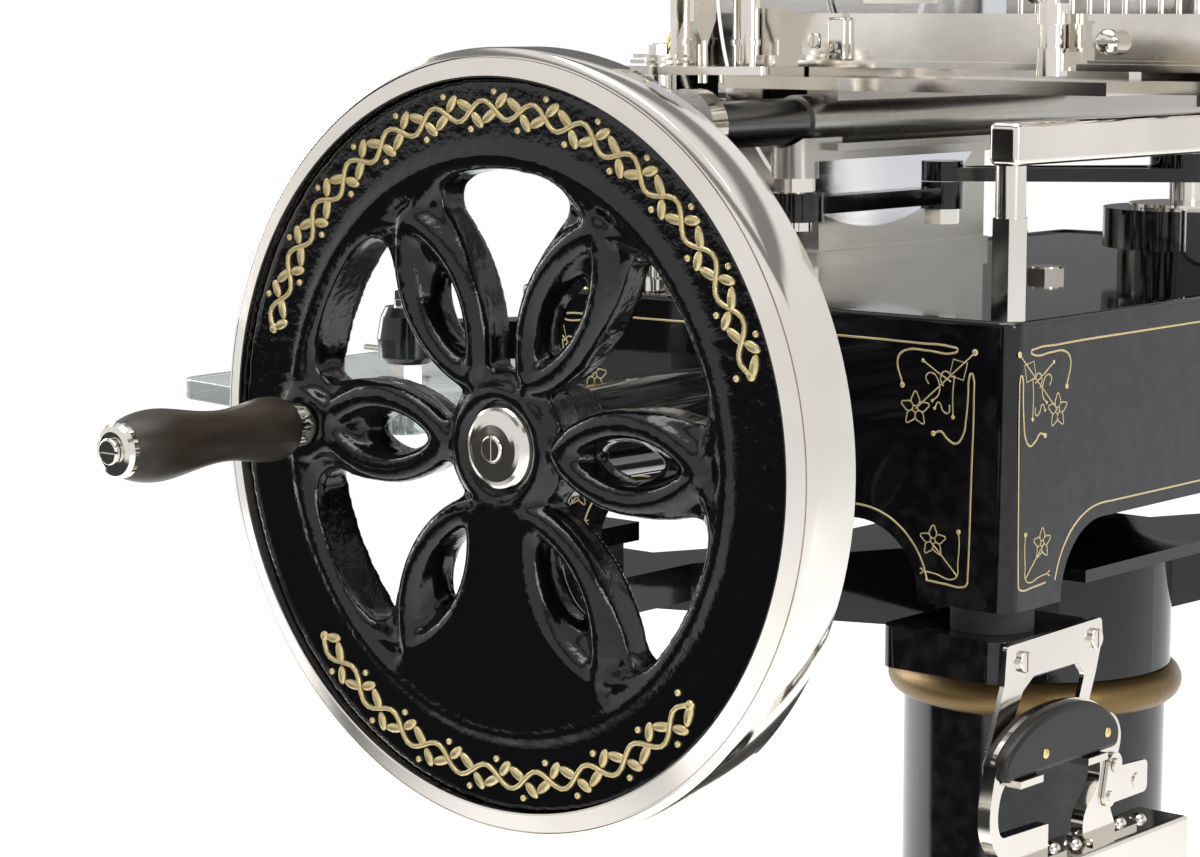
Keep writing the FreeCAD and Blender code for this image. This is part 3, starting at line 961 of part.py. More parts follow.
# ---------------------------------------------------------------- connecting rod
FAR_Y = LUG_Y + LINK_L
link = join(cyl_z(ROD_X, LUG_Y, 18.5, LINK_Z0, LINK_Z1), cyl_z(ROD_X, FAR_Y, EYE_R, LINK_Z0, LINK_Z1),
            box(ROD_X - 8, ROD_X + 8, LUG_Y, FAR_Y, LINK_Z0 + 3.5, LINK_Z1 - 3.5))
link = link.cut([cyl_z(ROD_X, LUG_Y, PIN_R + RUN, LINK_Z0 - 5, LINK_Z1 + 5), cyl_z(ROD_X, FAR_Y, PIN_R, LINK_Z0 - 5, LINK_Z1 - 3)])
save("connecting_rod", tidy(link))
rod_nut = join(hex_z(ROD_X, FAR_Y, 22.0, LINK_Z0 - 10, LINK_Z0), cyl_z(ROD_X, FAR_Y, PIN_R, LINK_Z0 - 1, LINK_Z1 - 3))
save("rod_nut", rod_nut)

# ---------------------------------------------------------------- meat table, clamp, press and release lever
FLOOR_Z0 = WAY_TOP + SLIT
FLOOR_Z1 = FLOOR_Z0 + 6.0
BEAM_Y1 = TABLE_Y0 + BEAM_T
CLAMP_X = -85.0
CLAMP_Y = -212.0
CLAMP_Z = 1108.0           # seat of the clamp's washer
CLAMP_R = 9.5
CPIN_R = 6.0
LATCH_X = 136.5
LATCH_Y = -207.2
LATCH_Z = 1122.0
LPIN_R = 4.0
FENCE_Y = 88.0
FENCE_T = 12.0
FENCE_Z = 1146.0
PRESS_X = 70.0
PRESS_Y = 114.0
PRESS_R = 9.0
PRESS_TOP = 1290.0
WASHER_T = 3.5
CLAMP_TOP = 1186.0

floor = box(TABLE_X0, TABLE_X1 - 4, BEAM_Y1 - 1, FENCE_Y + FENCE_T, FLOOR_Z0, FLOOR_Z1)
beam = box(TABLE_X0, TABLE_X1, TABLE_Y0, BEAM_Y1, BEAM_Z0, BEAM_Z1)
beam_foot = box(CLAMP_X + 11, TABLE_X1, TABLE_Y0 - 6, BEAM_Y1, BEAM_Z0, BEAM_Z0 + 4)
guides = []
for y in WAYS_Y:
    for side in (-1, 1):
        near = y + side * (WAY_HALF + SLIT)
        guides.append(box(-78, TABLE_X1 - 12, min(near, near + side * 5), max(near, near + side * 5), 1100, FLOOR_Z0 + 1))
fence = box(TABLE_X0, TABLE_X1 - 4, FENCE_Y, FENCE_Y + FENCE_T, FLOOR_Z0, FENCE_Z)
grips = [cyl_z(TABLE_X0 + 12 + 14 * k, FENCE_Y, 2.0, FLOOR_Z1 - 1, FENCE_Z - 4) for k in range(22)]
floor_ribs = [box(TABLE_X0 + 4, TABLE_X1 - 8, -160 + 30 * k, -157 + 30 * k, FLOOR_Z1 - 0.5, FLOOR_Z1 + 1.5) for k in range(9)]
press_lug = box(PRESS_X - 16, PRESS_X + 16, FENCE_Y + 4, PRESS_Y + 14, FLOOR_Z0, FENCE_Z - 11)
clamp_foot = cyl_z(CLAMP_X, CLAMP_Y, CLAMP_R, BEAM_Z0, CLAMP_Z)
clamp_web = box(CLAMP_X, CLAMP_X + 24, CLAMP_Y - 3, TABLE_Y0 + 1, BEAM_Z0, CLAMP_Z - 6)
clamp_lobe = box(CLAMP_X + 11, CLAMP_X + 24, CLAMP_Y + 1, TABLE_Y0 + 1, BEAM_Z0, BEAM_Z1 + 3)
beam_plate = box(-62, -36, TABLE_Y0 - 2, TABLE_Y0 + 1, BEAM_Z0 + 3, BEAM_Z1 - 2)
latch_body = cyl_z(LATCH_X, LATCH_Y, CLAMP_R, BEAM_Z0 - 3, CLAMP_Z).fuse(cyl_z(LATCH_X, LATCH_Y, 7.5, CLAMP_Z - 1, LATCH_Z - SLIT))
latch_lug = box(LATCH_X - 9, LATCH_X + 9, LATCH_Y, TABLE_Y0 + 1, BEAM_Z0 + 2, CLAMP_Z - 2)
latch_pin = cyl_z(LATCH_X, LATCH_Y, LPIN_R, LATCH_Z - 2, LATCH_Z + 16)
clamp_pin = cyl_z(CLAMP_X, CLAMP_Y, CPIN_R, CLAMP_Z - 1, CLAMP_TOP - 6 - SLIT)
table = floor.fuse([beam, beam_foot, fence, press_lug, clamp_foot, clamp_web, clamp_lobe, beam_plate, latch_body, latch_lug,
                    latch_pin, clamp_pin] + guides + grips + floor_ribs)
recess = box(152, 215, TABLE_Y0 - 10, TABLE_Y0 + 4, BEAM_Z0 + 6, BEAM_Z1 - 4)
clamp_washer = cyl_z(CLAMP_X, CLAMP_Y, CLAMP_R + 1, CLAMP_Z, CLAMP_Z + WASHER_T)
beam_block = box(-36, -20, TABLE_Y0 - 4, TABLE_Y0 + 1, BEAM_Z0 + 3, BEAM_Z1)
press_column = cyl_z(PRESS_X, PRESS_Y, PRESS_R, FLOOR_Z0, PRESS_TOP)
save("meat_table", tidy(table.cut(recess).fuse([clamp_washer, beam_block, press_column])))

beam_screw = slotted_head((-41.5, TABLE_Y0 - 2, 1111), (0, -1, 0), (0, 0, 1), 4.9, 2.6, 1.4)
fat_screw = slotted_head((169, TABLE_Y0 + 4, 1112), (0, -1, 0), (1, 0, 0), 7.5, 12.0, 2.0)
save("beam_screws", group([beam_screw, fat_screw]))

CLAMP_L = 138.0
sleeve_z0 = CLAMP_Z + WASHER_T + SLIT
arm_z = 1152.0
clamp_arm = cyl_z(CLAMP_X, CLAMP_Y, CLAMP_R, sleeve_z0, CLAMP_TOP)
bar = box(CLAMP_X, CLAMP_X + CLAMP_L, CLAMP_Y - 5, CLAMP_Y + 5, arm_z, arm_z + 14)
claw = box(CLAMP_X + CLAMP_L - 52, CLAMP_X + CLAMP_L, CLAMP_Y + 4, CLAMP_Y + 8, arm_z - 18, arm_z + 14)
spikes = []
for kx in range(4):
    for kz in range(2):
        spikes.append(Part.makeCone(2.5, 0.6, 12, Vector(CLAMP_X + CLAMP_L - 46 + 13 * kx, CLAMP_Y + 7.5, arm_z - 12 + 16 * kz),
                                    Vector(0, 1, 0)))
clamp_arm = clamp_arm.fuse([bar, claw] + spikes)
clamp_arm = clamp_arm.cut(cyl_z(CLAMP_X, CLAMP_Y, CPIN_R + RUN, 1100, CLAMP_TOP - 6))
save("clamp_arm", tidy(clamp_arm))

release_lever = cyl_z(LATCH_X, LATCH_Y, CLAMP_R, LATCH_Z, LATCH_Z + 12).cut(cyl_z(LATCH_X, LATCH_Y, LPIN_R + RUN, LATCH_Z - 5, LATCH_Z + 20))
handle_dir = Vector(-0.8, 0, 0.6)
handle_foot = Vector(LATCH_X, LATCH_Y, LATCH_Z + 7) + handle_dir * 6.5
stem = Part.makeCylinder(3.2, 14, handle_foot, handle_dir)
release_lever = tidy(release_lever.fuse(stem.cut(cyl_z(LATCH_X, LATCH_Y, 6.0, LATCH_Z - 5, LATCH_Z + 40))))
save("release_lever", release_lever)
grip_foot = handle_foot + handle_dir * 8.0
release_grip = Part.makeCone(4.6, 7.0, 44, grip_foot, handle_dir)
release_grip = release_grip.fuse(Part.makeSphere(7.4, grip_foot + handle_dir * 44))
save("release_grip", tidy(release_grip.cut(Part.makeCylinder(3.2, 6, grip_foot, handle_dir))))

press_z = 1225.0
press_arm = cyl_z(PRESS_X, PRESS_Y, 14.0, press_z, press_z + 37)
press_arm = press_arm.fuse([box(PRESS_X - 7, PRESS_X + 7, -40, PRESS_Y - 4, press_z + 12, press_z + 26),
                            box(PRESS_X - 7, PRESS_X + 7, -46, -34, press_z - 2, press_z + 26),
                            box(PRESS_X - 42, PRESS_X + 42, -88, 8, press_z - 7, press_z - 1)])
pins = [Part.makeCone(2.6, 0.6, 9, Vector(PRESS_X - 33 + 22 * kx, -78 + 19 * ky, press_z - 6.5), Vector(0, 0, -1))
        for kx in range(4) for ky in range(5)]
press_arm = press_arm.fuse(pins)
PSCREW_R = 4.0
press_screw_z = press_z + 18.0
press_arm = press_arm.cut([cyl_z(PRESS_X, PRESS_Y, PRESS_R + RUN, 1100, 1400),
                           cyl_x(PRESS_Y, press_screw_z, PSCREW_R + RUN, PRESS_X, PRESS_X + 30)])
save("meat_press", tidy(press_arm))
press_knob = join(cyl_x(PRESS_Y, press_screw_z, PSCREW_R, PRESS_X + PRESS_R + SLIT, PRESS_X + 24),
                  cyl_x(PRESS_Y, press_screw_z, 11.0, PRESS_X + 20, PRESS_X + 31))
flutes = [cyl_x(PRESS_Y + 12.0 * math.cos(k * math.pi / 4), press_screw_z + 12.0 * math.sin(k * math.pi / 4), 2.6,
                PRESS_X + 19, PRESS_X + 32) for k in range(8)]
save("press_knob", tidy(press_knob.cut(flutes)))

# ---------------------------------------------------------------- glass tray for the slices and its arm
GLASS_Z = 900.0
GLASS_T = 13.0
glass_bolt_x = -244.0
glass_bolt_y = -356.0
BOLT_R = 6.0
outline = [(-344, -461), (-112, -497), (-112, -326), (-195, -326), (-195, -150), (-364, -150)]
glass = prism([(x, y, GLASS_Z - GLASS_T) for x, y in outline], (0, 0, GLASS_T))
glass = soften(glass, 16.0, lambda e: e.Length < GLASS_T + 1 and math.hypot(e.CenterOfMass.x + 195, e.CenterOfMass.y + 326) > 90)
glass = glass.makeFillet(1.5, [e for e in glass.Edges if e.BoundBox.ZLength < 0.1])
save("glass_plate", tidy(glass.cut(cyl_z(glass_bolt_x, glass_bolt_y, BOLT_R + RUN, GLASS_Z - 50, GLASS_Z + 50))))
NUT_H = 8.0
boss_z0 = GLASS_Z + NUT_H
boss_z1 = 944.0
boss = revolve([(BOLT_R, boss_z0), (14.5, boss_z0), (18.5, boss_z0 + 4), (20.0, boss_z0 + 16), (17.5, boss_z1 - 6), (14.5, boss_z1),
                (BOLT_R, boss_z1)], (glass_bolt_x, glass_bolt_y, 0), (0, 0, 1), (1, 0, 0))
wall_pad = box(-HX2 - 8, -HX2, -302, -252, boss_z0 - 2, boss_z1 - 4)
arm_from = Vector(glass_bolt_x, glass_bolt_y, boss_z0 + 2)
arm_to = Vector(-HX2 - 4, -278, boss_z0 + 2)
run = (arm_to - arm_from)
across = Vector(-run.y, run.x, 0)
across.normalize()
web = Part.makePolygon([arm_from + across * 11, arm_to + across * 15, arm_to - across * 15, arm_from - across * 11,
                        arm_from + across * 11])
web = Part.Face(web).extrude(Vector(0, 0, 24))
glass_arm = boss.fuse([wall_pad, web.cut(box(-HX2, 0, -400, -200, 800, 1000))])
PIN_Z = 915.0
glass_arm = glass_arm.cut([cyl_z(glass_bolt_x, glass_bolt_y, BOLT_R, 850, 1000),
                           cyl_x(glass_bolt_y, PIN_Z, 2.2, glass_bolt_x - 60, glass_bolt_x - BOLT_R - 1)])
save("glass_arm", tidy(glass_arm))
glass_bolt = join(cyl_z(glass_bolt_x, glass_bolt_y, BOLT_R, GLASS_Z - GLASS_T - 14, boss_z1),
                  cyl_z(glass_bolt_x, glass_bolt_y, 9.0, boss_z1, boss_z1 + 4.5),
                  hex_z(glass_bolt_x, glass_bolt_y, 15.0, boss_z1 + 4, boss_z1 + 10),
                  hex_z(glass_bolt_x, glass_bolt_y, 20.0, GLASS_Z, boss_z0),
                  cyl_z(glass_bolt_x, glass_bolt_y, 14.0, GLASS_Z - GLASS_T - 2, GLASS_Z - GLASS_T),
                  hex_z(glass_bolt_x, glass_bolt_y, 20.0, GLASS_Z - GLASS_T - 10, GLASS_Z - GLASS_T - 2))
lock_pin = cyl_x(glass_bolt_y, PIN_Z, 2.2, glass_bolt_x - 38, glass_bolt_x - BOLT_R - 1)
save("glass_bolt", group([glass_bolt, lock_pin]))

# ---------------------------------------------------------------- hanging meat pusher and its bracket
HANG_X = PAD_X + PAD_W / 2
PLATE_T = 3.0
GRIP_DROP = 71.5           # pads' top down to the underside of the pusher's grip
GRIP_UNDER = PAD_Z - GRIP_DROP
REST_GAP = 0.1             # the grip lies on its hooks
HOOK_T = 4.0
HOOK_REACH = 24.0
HOOK_Z1 = GRIP_UNDER - REST_GAP
HOOK_Z0 = HOOK_Z1 - HOOK_T


def plate_x(points, x0, x1):
    return prism([(x0, y, z) for y, z in points], (x1 - x0, 0, 0))


def rounded_x(points, x0, x1, radius):
    """Plate across X with all its corners rounded."""
    return soften(plate_x(points, x0, x1), radius, lambda e: abs(e.Length - (x1 - x0)) < 0.01 and e.BoundBox.XLength > 1)


def from_grip(points):
    """(y, z) points given by their height over the grip's underside."""
    return [(y, GRIP_UNDER + dz) for y, dz in points]


def curved_x(runs, x0, x1):
    """Plate across X; its outline is smooth along each run of (y, z) points and straight between the runs."""
    edges = []
    for k, run in enumerate(runs):
        nodes = [Vector(x0, y, z) for y, z in run]
        curve = Part.BSplineCurve()
        curve.interpolate(nodes)
        after_y, after_z = runs[(k + 1) % len(runs)][0]
        edges.append(curve.toShape())
        edges.append(Part.makeLine(nodes[-1], Vector(x0, after_y, after_z)))
    return Part.Face(Part.Wire(edges)).extrude(Vector(x1 - x0, 0, 0))


# Bracket: a bent plate screwed to the pad's side, with two legs that end in hooks under the grip.
bracket = plate_x([(-326, PAD_Z - 1), (-227, PAD_Z + 1), (-225.5, PAD_Z - 10), (-232, PAD_Z - 30), (-251.5, HOOK_Z0),
                   (-262.5, HOOK_Z0), (-244.5, PAD_Z - 30), (-252, PAD_Z - 22), (-298, PAD_Z - 22), (-309, PAD_Z - 29),
                   (-331, HOOK_Z1 + 4), (-331, HOOK_Z0), (-342, HOOK_Z0), (-342, HOOK_Z1 + 14), (-328, PAD_Z - 23)],
                  HANG_X, HANG_X + PLATE_T)
bracket = soften(bracket, 3.0, lambda e: abs(e.Length - PLATE_T) < 0.1)
hooks = [box(HANG_X, HANG_X + HOOK_REACH, y0, y1, HOOK_Z0, HOOK_Z1) for y0, y1 in ((-342, -319), (-272, -251.5))]
hanger_screws = [slotted_head((HANG_X + PLATE_T, y, z), (1, 0, 0), (0, 0, 1), 6.2, 3.0, 1.6)
                 for y, z in ((-309.5, PAD_Z - 12), (-235, PAD_Z - 10.5))]
save("hanger_bracket", group([join(bracket, *hooks)] + hanger_screws))

STRAP_X0 = HANG_X + PLATE_T + 6.0
STRAP_T = 8.0
STRAP_X1 = STRAP_X0 + STRAP_T
MID_X = STRAP_X0 + STRAP_T / 2
TANG_T = 3.0               # the frame between the two halves of the grip
TANG_X0 = MID_X - TANG_T / 2
TANG_X1 = MID_X + TANG_T / 2
SCALE_T = 7.0
BOX_Z1 = GRIP_UNDER - 52.5
BOX_Z0 = BOX_Z1 - 30.0
BOX_HALF = 17.5
BOX_Y0 = -368.0
BOX_Y1 = -170.0

# Grip: two domed halves with a straight underside and an arched back.
grip_outline = [(-352, 0), (-353.5, 8.5), (-340, 22), (-317, 31), (-289, 34), (-265, 31.5), (-246, 23.5), (-234.5, 12.5), (-236, 0)]
halves = [curved_x([from_grip(grip_outline)], TANG_X1, TANG_X1 + SCALE_T),
          curved_x([from_grip(grip_outline)], TANG_X0 - SCALE_T, TANG_X0)]
ROOM = 1.006               # the frame's ends keep clear of the grip by this share of its size
grip_room = [(-294 + (y + 294) * ROOM, 14 + (dz - 14) * ROOM) for y, dz in grip_outline]
room = [curved_x([from_grip(grip_room)], TANG_X1, TANG_X1 + 2 * SCALE_T),
        curved_x([from_grip(grip_room)], TANG_X0 - 2 * SCALE_T, TANG_X0)]

# Frame: a tang between the halves and two curved legs that end in feet on the toothed box.
tang = curved_x([from_grip([(-353.4, 0), (-354.8, 8.5), (-341, 23.2), (-317.5, 32.3), (-289, 35.3), (-264.5, 32.8),
                            (-245, 24.7), (-233, 13.2), (-232.5, 3)])], TANG_X0, TANG_X1)
FRAME_DZ = BOX_Z1 - GRIP_UNDER + 1.0
left_leg = curved_x([from_grip([(-355.8, 9.5), (-358.8, -2), (-361.5, -17.5), (-359.5, -31.5), (-351, -43), (-338, FRAME_DZ)]),
                     from_grip([(-302, FRAME_DZ), (-302, -33)]),
                     from_grip([(-344, -32), (-350.5, -30), (-353.2, -23.5), (-353, -14.5), (-350.5, -6.5), (-344, -0.2)]),
                     from_grip([(-352.3, -0.2), (-353.6, 7)])], STRAP_X0, STRAP_X1)
right_leg = curved_x([from_grip([(-238.5, 20.1), (-230, 14.5), (-226, 4.5), (-228, -4.5), (-233, -15.5), (-236.5, -26.5),
                                 (-236, -36.5), (-231, -46.5), (-229, FRAME_DZ)]),
                      from_grip([(-262, FRAME_DZ), (-265.5, -42.5), (-262, -32.5), (-254, -25), (-248.5, -16.5), (-248.5, -4.5),
                                 (-249, -0.2)]),
                      from_grip([(-235.5, -0.2), (-233, 4.5), (-233.2, 13)])], STRAP_X0, STRAP_X1)
roots = [box(TANG_X0, TANG_X1, y0, y1, GRIP_UNDER - 3, GRIP_UNDER + 6) for y0, y1 in ((-356, -346), (-249, -229))]
TAB_HALF = 9.0
TAB_T = 2.6


def dome(y, z):
    """Rivet head on top of a face at height z."""
    return Part.makeSphere(5.6, Vector(MID_X, y, z - 1.4)).common(box(0, 400, -500, 0, z - 0.6, z + 10))


tabs = []
for y0, y1 in ((-352, -292), (-262, -216)):
    tabs.append(box(MID_X - TAB_HALF, MID_X + TAB_HALF, y0, y1, BOX_Z1, BOX_Z1 + TAB_T))
    tabs.append(cyl_z(MID_X, y1, TAB_HALF, BOX_Z1, BOX_Z1 + TAB_T))
THUMB_Y = -235.0
THUMB_Z = GRIP_UNDER - 11.5
THUMB_T = 2.0
THUMB_PIN_R = 2.0
thumb_x0 = STRAP_X1 + SLIT
thumb_x1 = thumb_x0 + THUMB_T
thumb_pin = join(cyl_x(THUMB_Y, THUMB_Z, THUMB_PIN_R, STRAP_X0 + 2, thumb_x1 + SLIT),
                 cyl_x(THUMB_Y, THUMB_Z, 4.2, thumb_x1 + SLIT, thumb_x1 + SLIT + 1.6))
frame = left_leg.fuse([right_leg]).cut(room).fuse([tang, thumb_pin] + roots + tabs + [dome(-292, BOX_Z1 + TAB_T),
                                                                                     dome(-221, BOX_Z1 + TAB_T)])
shell = box(MID_X - BOX_HALF, MID_X + BOX_HALF, BOX_Y0, BOX_Y1, BOX_Z0, BOX_Z1)
shell = soften(shell, 2.5, lambda e: e.BoundBox.ZMin > BOX_Z1 - 0.1)
teeth = [Part.makeCone(2.4, 0.5, 11, Vector(MID_X + sx * 10, -359 + 13 * k, BOX_Z0 + 0.5), Vector(0, 0, -1))
         for k in range(15) for sx in (-1, 1)]
toothed_box = tidy(shell.fuse([dome(-269, BOX_Z1), dome(-198, BOX_Z1)] + teeth))
save("pusher_body", group([tidy(frame), toothed_box]))
halves = [soften(g, 5.0, lambda e: abs(e.Length - SCALE_T) < 0.01 and e.BoundBox.XLength > 1) for g in halves]
halves = [soften(g, 3.5, lambda e: e.BoundBox.XLength < 0.01 and abs(e.BoundBox.XMin - MID_X) > TANG_T / 2 + SCALE_T - 0.1)
          for g in halves]
save("pusher_grips", group(halves))
# Thumb catch: a riveted strip with a flap for the thumb, turning on the upper pin.
LOW_Y = THUMB_Y - 5.0
LOW_Z = THUMB_Z - 17.5
strip = plate_x([(THUMB_Y - 7.5, THUMB_Z), (THUMB_Y + 7.5, THUMB_Z), (LOW_Y + 6.5, LOW_Z), (LOW_Y - 6.5, LOW_Z)], thumb_x0, thumb_x1)
strip = strip.fuse([cyl_x(THUMB_Y, THUMB_Z, 7.5, thumb_x0, thumb_x1), cyl_x(LOW_Y, LOW_Z, 6.5, thumb_x0, thumb_x1),
                    cyl_x(LOW_Y, LOW_Z, 3.2, thumb_x1 - 0.5, thumb_x1 + 1.4)])
flap = rounded_x([(THUMB_Y, THUMB_Z - 1), (-199, THUMB_Z - 3), (-199, THUMB_Z - 22), (LOW_Y, THUMB_Z - 22)], thumb_x0, thumb_x1, 4.0)
catch = strip.fuse([flap, cyl_x(-211, THUMB_Z - 13.5, 4.5, thumb_x1 - 0.5, thumb_x1 + 1.0)])
save("pusher_catch", tidy(catch.cut(cyl_x(THUMB_Y, THUMB_Z, THUMB_PIN_R + RUN, thumb_x0 - 5, thumb_x1 + 5))))
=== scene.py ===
# %% [markdown]
# # A hand crank meat slicer
#
# The solids come from the CAD model and already stand in the right place. This script dresses them:
# it gives every solid a finish that has some life in it, softens the cast wheel, and adds the thin things
# that a CAD model leaves out, such as painted lines, raised gilding and rivets.

# %% Load the frame
import json
import math
import bmesh
import bpy
from mathutils import Matrix, Vector


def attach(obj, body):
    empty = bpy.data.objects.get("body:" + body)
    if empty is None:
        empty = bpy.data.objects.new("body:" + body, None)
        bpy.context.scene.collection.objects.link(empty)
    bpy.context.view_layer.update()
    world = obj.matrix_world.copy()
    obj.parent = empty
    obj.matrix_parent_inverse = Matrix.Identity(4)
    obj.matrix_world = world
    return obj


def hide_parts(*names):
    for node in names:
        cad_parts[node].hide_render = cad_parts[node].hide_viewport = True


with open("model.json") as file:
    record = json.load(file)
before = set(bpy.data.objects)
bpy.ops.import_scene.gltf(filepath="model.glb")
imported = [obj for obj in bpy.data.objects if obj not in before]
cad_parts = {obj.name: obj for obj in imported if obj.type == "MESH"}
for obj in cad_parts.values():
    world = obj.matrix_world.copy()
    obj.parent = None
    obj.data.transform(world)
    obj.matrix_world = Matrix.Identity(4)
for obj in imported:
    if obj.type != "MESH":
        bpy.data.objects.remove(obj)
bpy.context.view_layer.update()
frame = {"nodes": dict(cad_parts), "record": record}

# %% [markdown]
# ## The camera
#
# The view stands at the operator's right and a little above the deck, and looks slightly down.
# A long lens keeps the wheel round, so the camera stands well back.

# %% Camera
YAW = math.radians(40.84)
PITCH = math.radians(7.89)
camera = bpy.data.objects.new("view_camera", bpy.data.cameras.new("view_camera"))
bpy.context.scene.collection.objects.link(camera)
camera.location = (1.10883, -1.73495, 1.13280)
camera.rotation_euler = (math.pi / 2 - PITCH, 0, YAW)
camera.data.sensor_width = 36
camera.data.lens = 91.6
camera.data.clip_start = 0.05
camera.data.clip_end = 60
bpy.context.scene.camera = camera
print("camera height", camera.location.z)

# %% [markdown]
# ## Node helpers
#
# The room and every finish are node trees, so a few helpers build them. An input is given either a value or
# another node's output: the helper sets the first and links the second.


# %% Trees and nodes
def tree_of(holder):
    """Empty node tree of a material or world, with its output node."""
    holder.use_nodes = True
    holder.node_tree.nodes.clear()
    is_world = isinstance(holder, bpy.types.World)
    output = holder.node_tree.nodes.new("ShaderNodeOutputWorld" if is_world else "ShaderNodeOutputMaterial")
    return holder.node_tree, output


def add_node(tree, kind, inputs=(), **settings):
    """New node with its settings made, and each input set to a value or linked to an output."""
    node = tree.nodes.new(kind)
    for name, value in settings.items():
        setattr(node, name, value)
    for key, value in dict(inputs).items():
        if isinstance(value, bpy.types.NodeSocket):
            tree.links.new(value, node.inputs[key])
        else:
            node.inputs[key].default_value = value
    return node


def make_group(name, inputs, outputs):
    """Empty shader group with named sockets: inputs are (name, kind, default)."""
    group = bpy.data.node_groups.new(name, "ShaderNodeTree")
    for label, kind, default in inputs:
        socket = group.interface.new_socket(name=label, in_out="INPUT", socket_type=kind)
        if default is not None:
            socket.default_value = default
    for label, kind in outputs:
        group.interface.new_socket(name=label, in_out="OUTPUT", socket_type=kind)
    return group, group.nodes.new("NodeGroupInput").outputs, group.nodes.new("NodeGroupOutput").inputs


# %% Sums on values and vectors
def maths(tree, operation, first, second):
    """Result of a Math node over two values."""
    return add_node(tree, "ShaderNodeMath", {0: first, 1: second}, operation=operation).outputs[0]


def vector_maths(tree, operation, value, fixed=(0, 0, 0)):
    """Result of a Vector Math node: a number for a dot product or a length, else a vector."""
    node = add_node(tree, "ShaderNodeVectorMath", {0: value, 1: fixed}, operation=operation)
    return node.outputs["Value" if operation in ("DOT_PRODUCT", "LENGTH") else "Vector"]


def in_range(tree, value, low, high, start=0.0, end=1.0, step="SMOOTHSTEP"):
    """Place of a value between low and high, given out from start to end."""
    limits = {"Value": value, "From Min": low, "From Max": high, "To Min": start, "To Max": end}
    return add_node(tree, "ShaderNodeMapRange", limits, interpolation_type=step).outputs["Result"]


# %% [markdown]
# ## Floor and light
#
# Polished nickel and black enamel show what stands round them, so the room matters as much as the lamps.
# The world is white to the eye and in reflections, and dim as a lamp. Soft lamps then do the lighting.


# %% Colour handling and what each ray meets
def split_by_ray(tree, output, lit, seen):
    """Wire one shader for light on the object, and one for the eye, reflections and glass."""
    path = add_node(tree, "ShaderNodeLightPath").outputs
    shown = maths(tree, "MAXIMUM", path["Is Camera Ray"], path["Is Glossy Ray"])
    shown = maths(tree, "MAXIMUM", shown, path["Is Transmission Ray"])
    mixer = add_node(tree, "ShaderNodeMixShader", {0: shown, 1: lit.outputs[0], 2: seen.outputs[0]})
    tree.links.new(mixer.outputs[0], output.inputs["Surface"])


bpy.context.scene.view_settings.view_transform = "Standard"
print("view transform", bpy.context.scene.view_settings.view_transform)

# %% [markdown]
# A studio isn't white all round, and polished metal only looks like metal when it mirrors something dark. So
# reflections meet three dark parts: the floor and the room's foot at the camera's left, a gap between the
# backdrop and the lamps overhead, and the low part of the far wall, which level tops mirror. Black enamel
# needs the first to look black. One group finds that side from a direction, for the world and for the floor.

# %% Dark side of the room
DARK_WAY = (-0.707, -0.707, 0)
DARK_SIDE, given, made = make_group(
    "dark_side", [("Direction", "NodeSocketVector", None)], [("Mask", "NodeSocketFloat")])
level = vector_maths(DARK_SIDE, "MULTIPLY", given["Direction"], (1, 1, 0))
toward = vector_maths(DARK_SIDE, "DOT_PRODUCT", vector_maths(DARK_SIDE, "NORMALIZE", level), DARK_WAY)
DARK_SIDE.links.new(in_range(DARK_SIDE, toward, 0.809, 0.883), made["Mask"])
print("group", DARK_SIDE.name)

# %% World
FAR_WALL = (-0.654, 0.757, 0)
SIDE_LOSS, GAP_LOSS, WALL_LOSS = 0.94, 0.72, 0.82
world = bpy.data.worlds.new("studio")
bpy.context.scene.world = world
tree, output = tree_of(world)
direction = add_node(tree, "ShaderNodeTexCoord").outputs["Generated"]
rise = add_node(tree, "ShaderNodeSeparateXYZ", {0: direction}).outputs["Z"]
side = add_node(tree, "ShaderNodeGroup", {"Direction": direction}, node_tree=DARK_SIDE).outputs["Mask"]
low_side = maths(tree, "MULTIPLY", side, in_range(tree, rise, -0.045, -0.01, 1.0, 0.0))
gap = maths(tree, "MULTIPLY", in_range(tree, rise, 0.50, 0.57), in_range(tree, rise, 0.66, 0.76, 1.0, 0.0))
wall = in_range(tree, vector_maths(tree, "DOT_PRODUCT", direction, FAR_WALL), 0.86, 0.93)
dark_parts = (maths(tree, "MULTIPLY", low_side, SIDE_LOSS), maths(tree, "MULTIPLY", gap, GAP_LOSS),
              maths(tree, "MULTIPLY", wall, in_range(tree, rise, 0.0, 0.04, 0.0, WALL_LOSS)))
dark = maths(tree, "MAXIMUM", maths(tree, "MAXIMUM", dark_parts[0], dark_parts[1]), dark_parts[2])
loss = maths(tree, "MULTIPLY", dark, add_node(tree, "ShaderNodeLightPath").outputs["Is Glossy Ray"])
lamp_light = add_node(tree, "ShaderNodeBackground", {"Color": (0.93, 0.96, 1.0, 1), "Strength": 0.42})
white_room = add_node(tree, "ShaderNodeBackground",
                      {"Color": (1, 1, 1, 1), "Strength": maths(tree, "SUBTRACT", 1.0, loss)})
split_by_ray(tree, output, lamp_light, white_room)
print("world set")

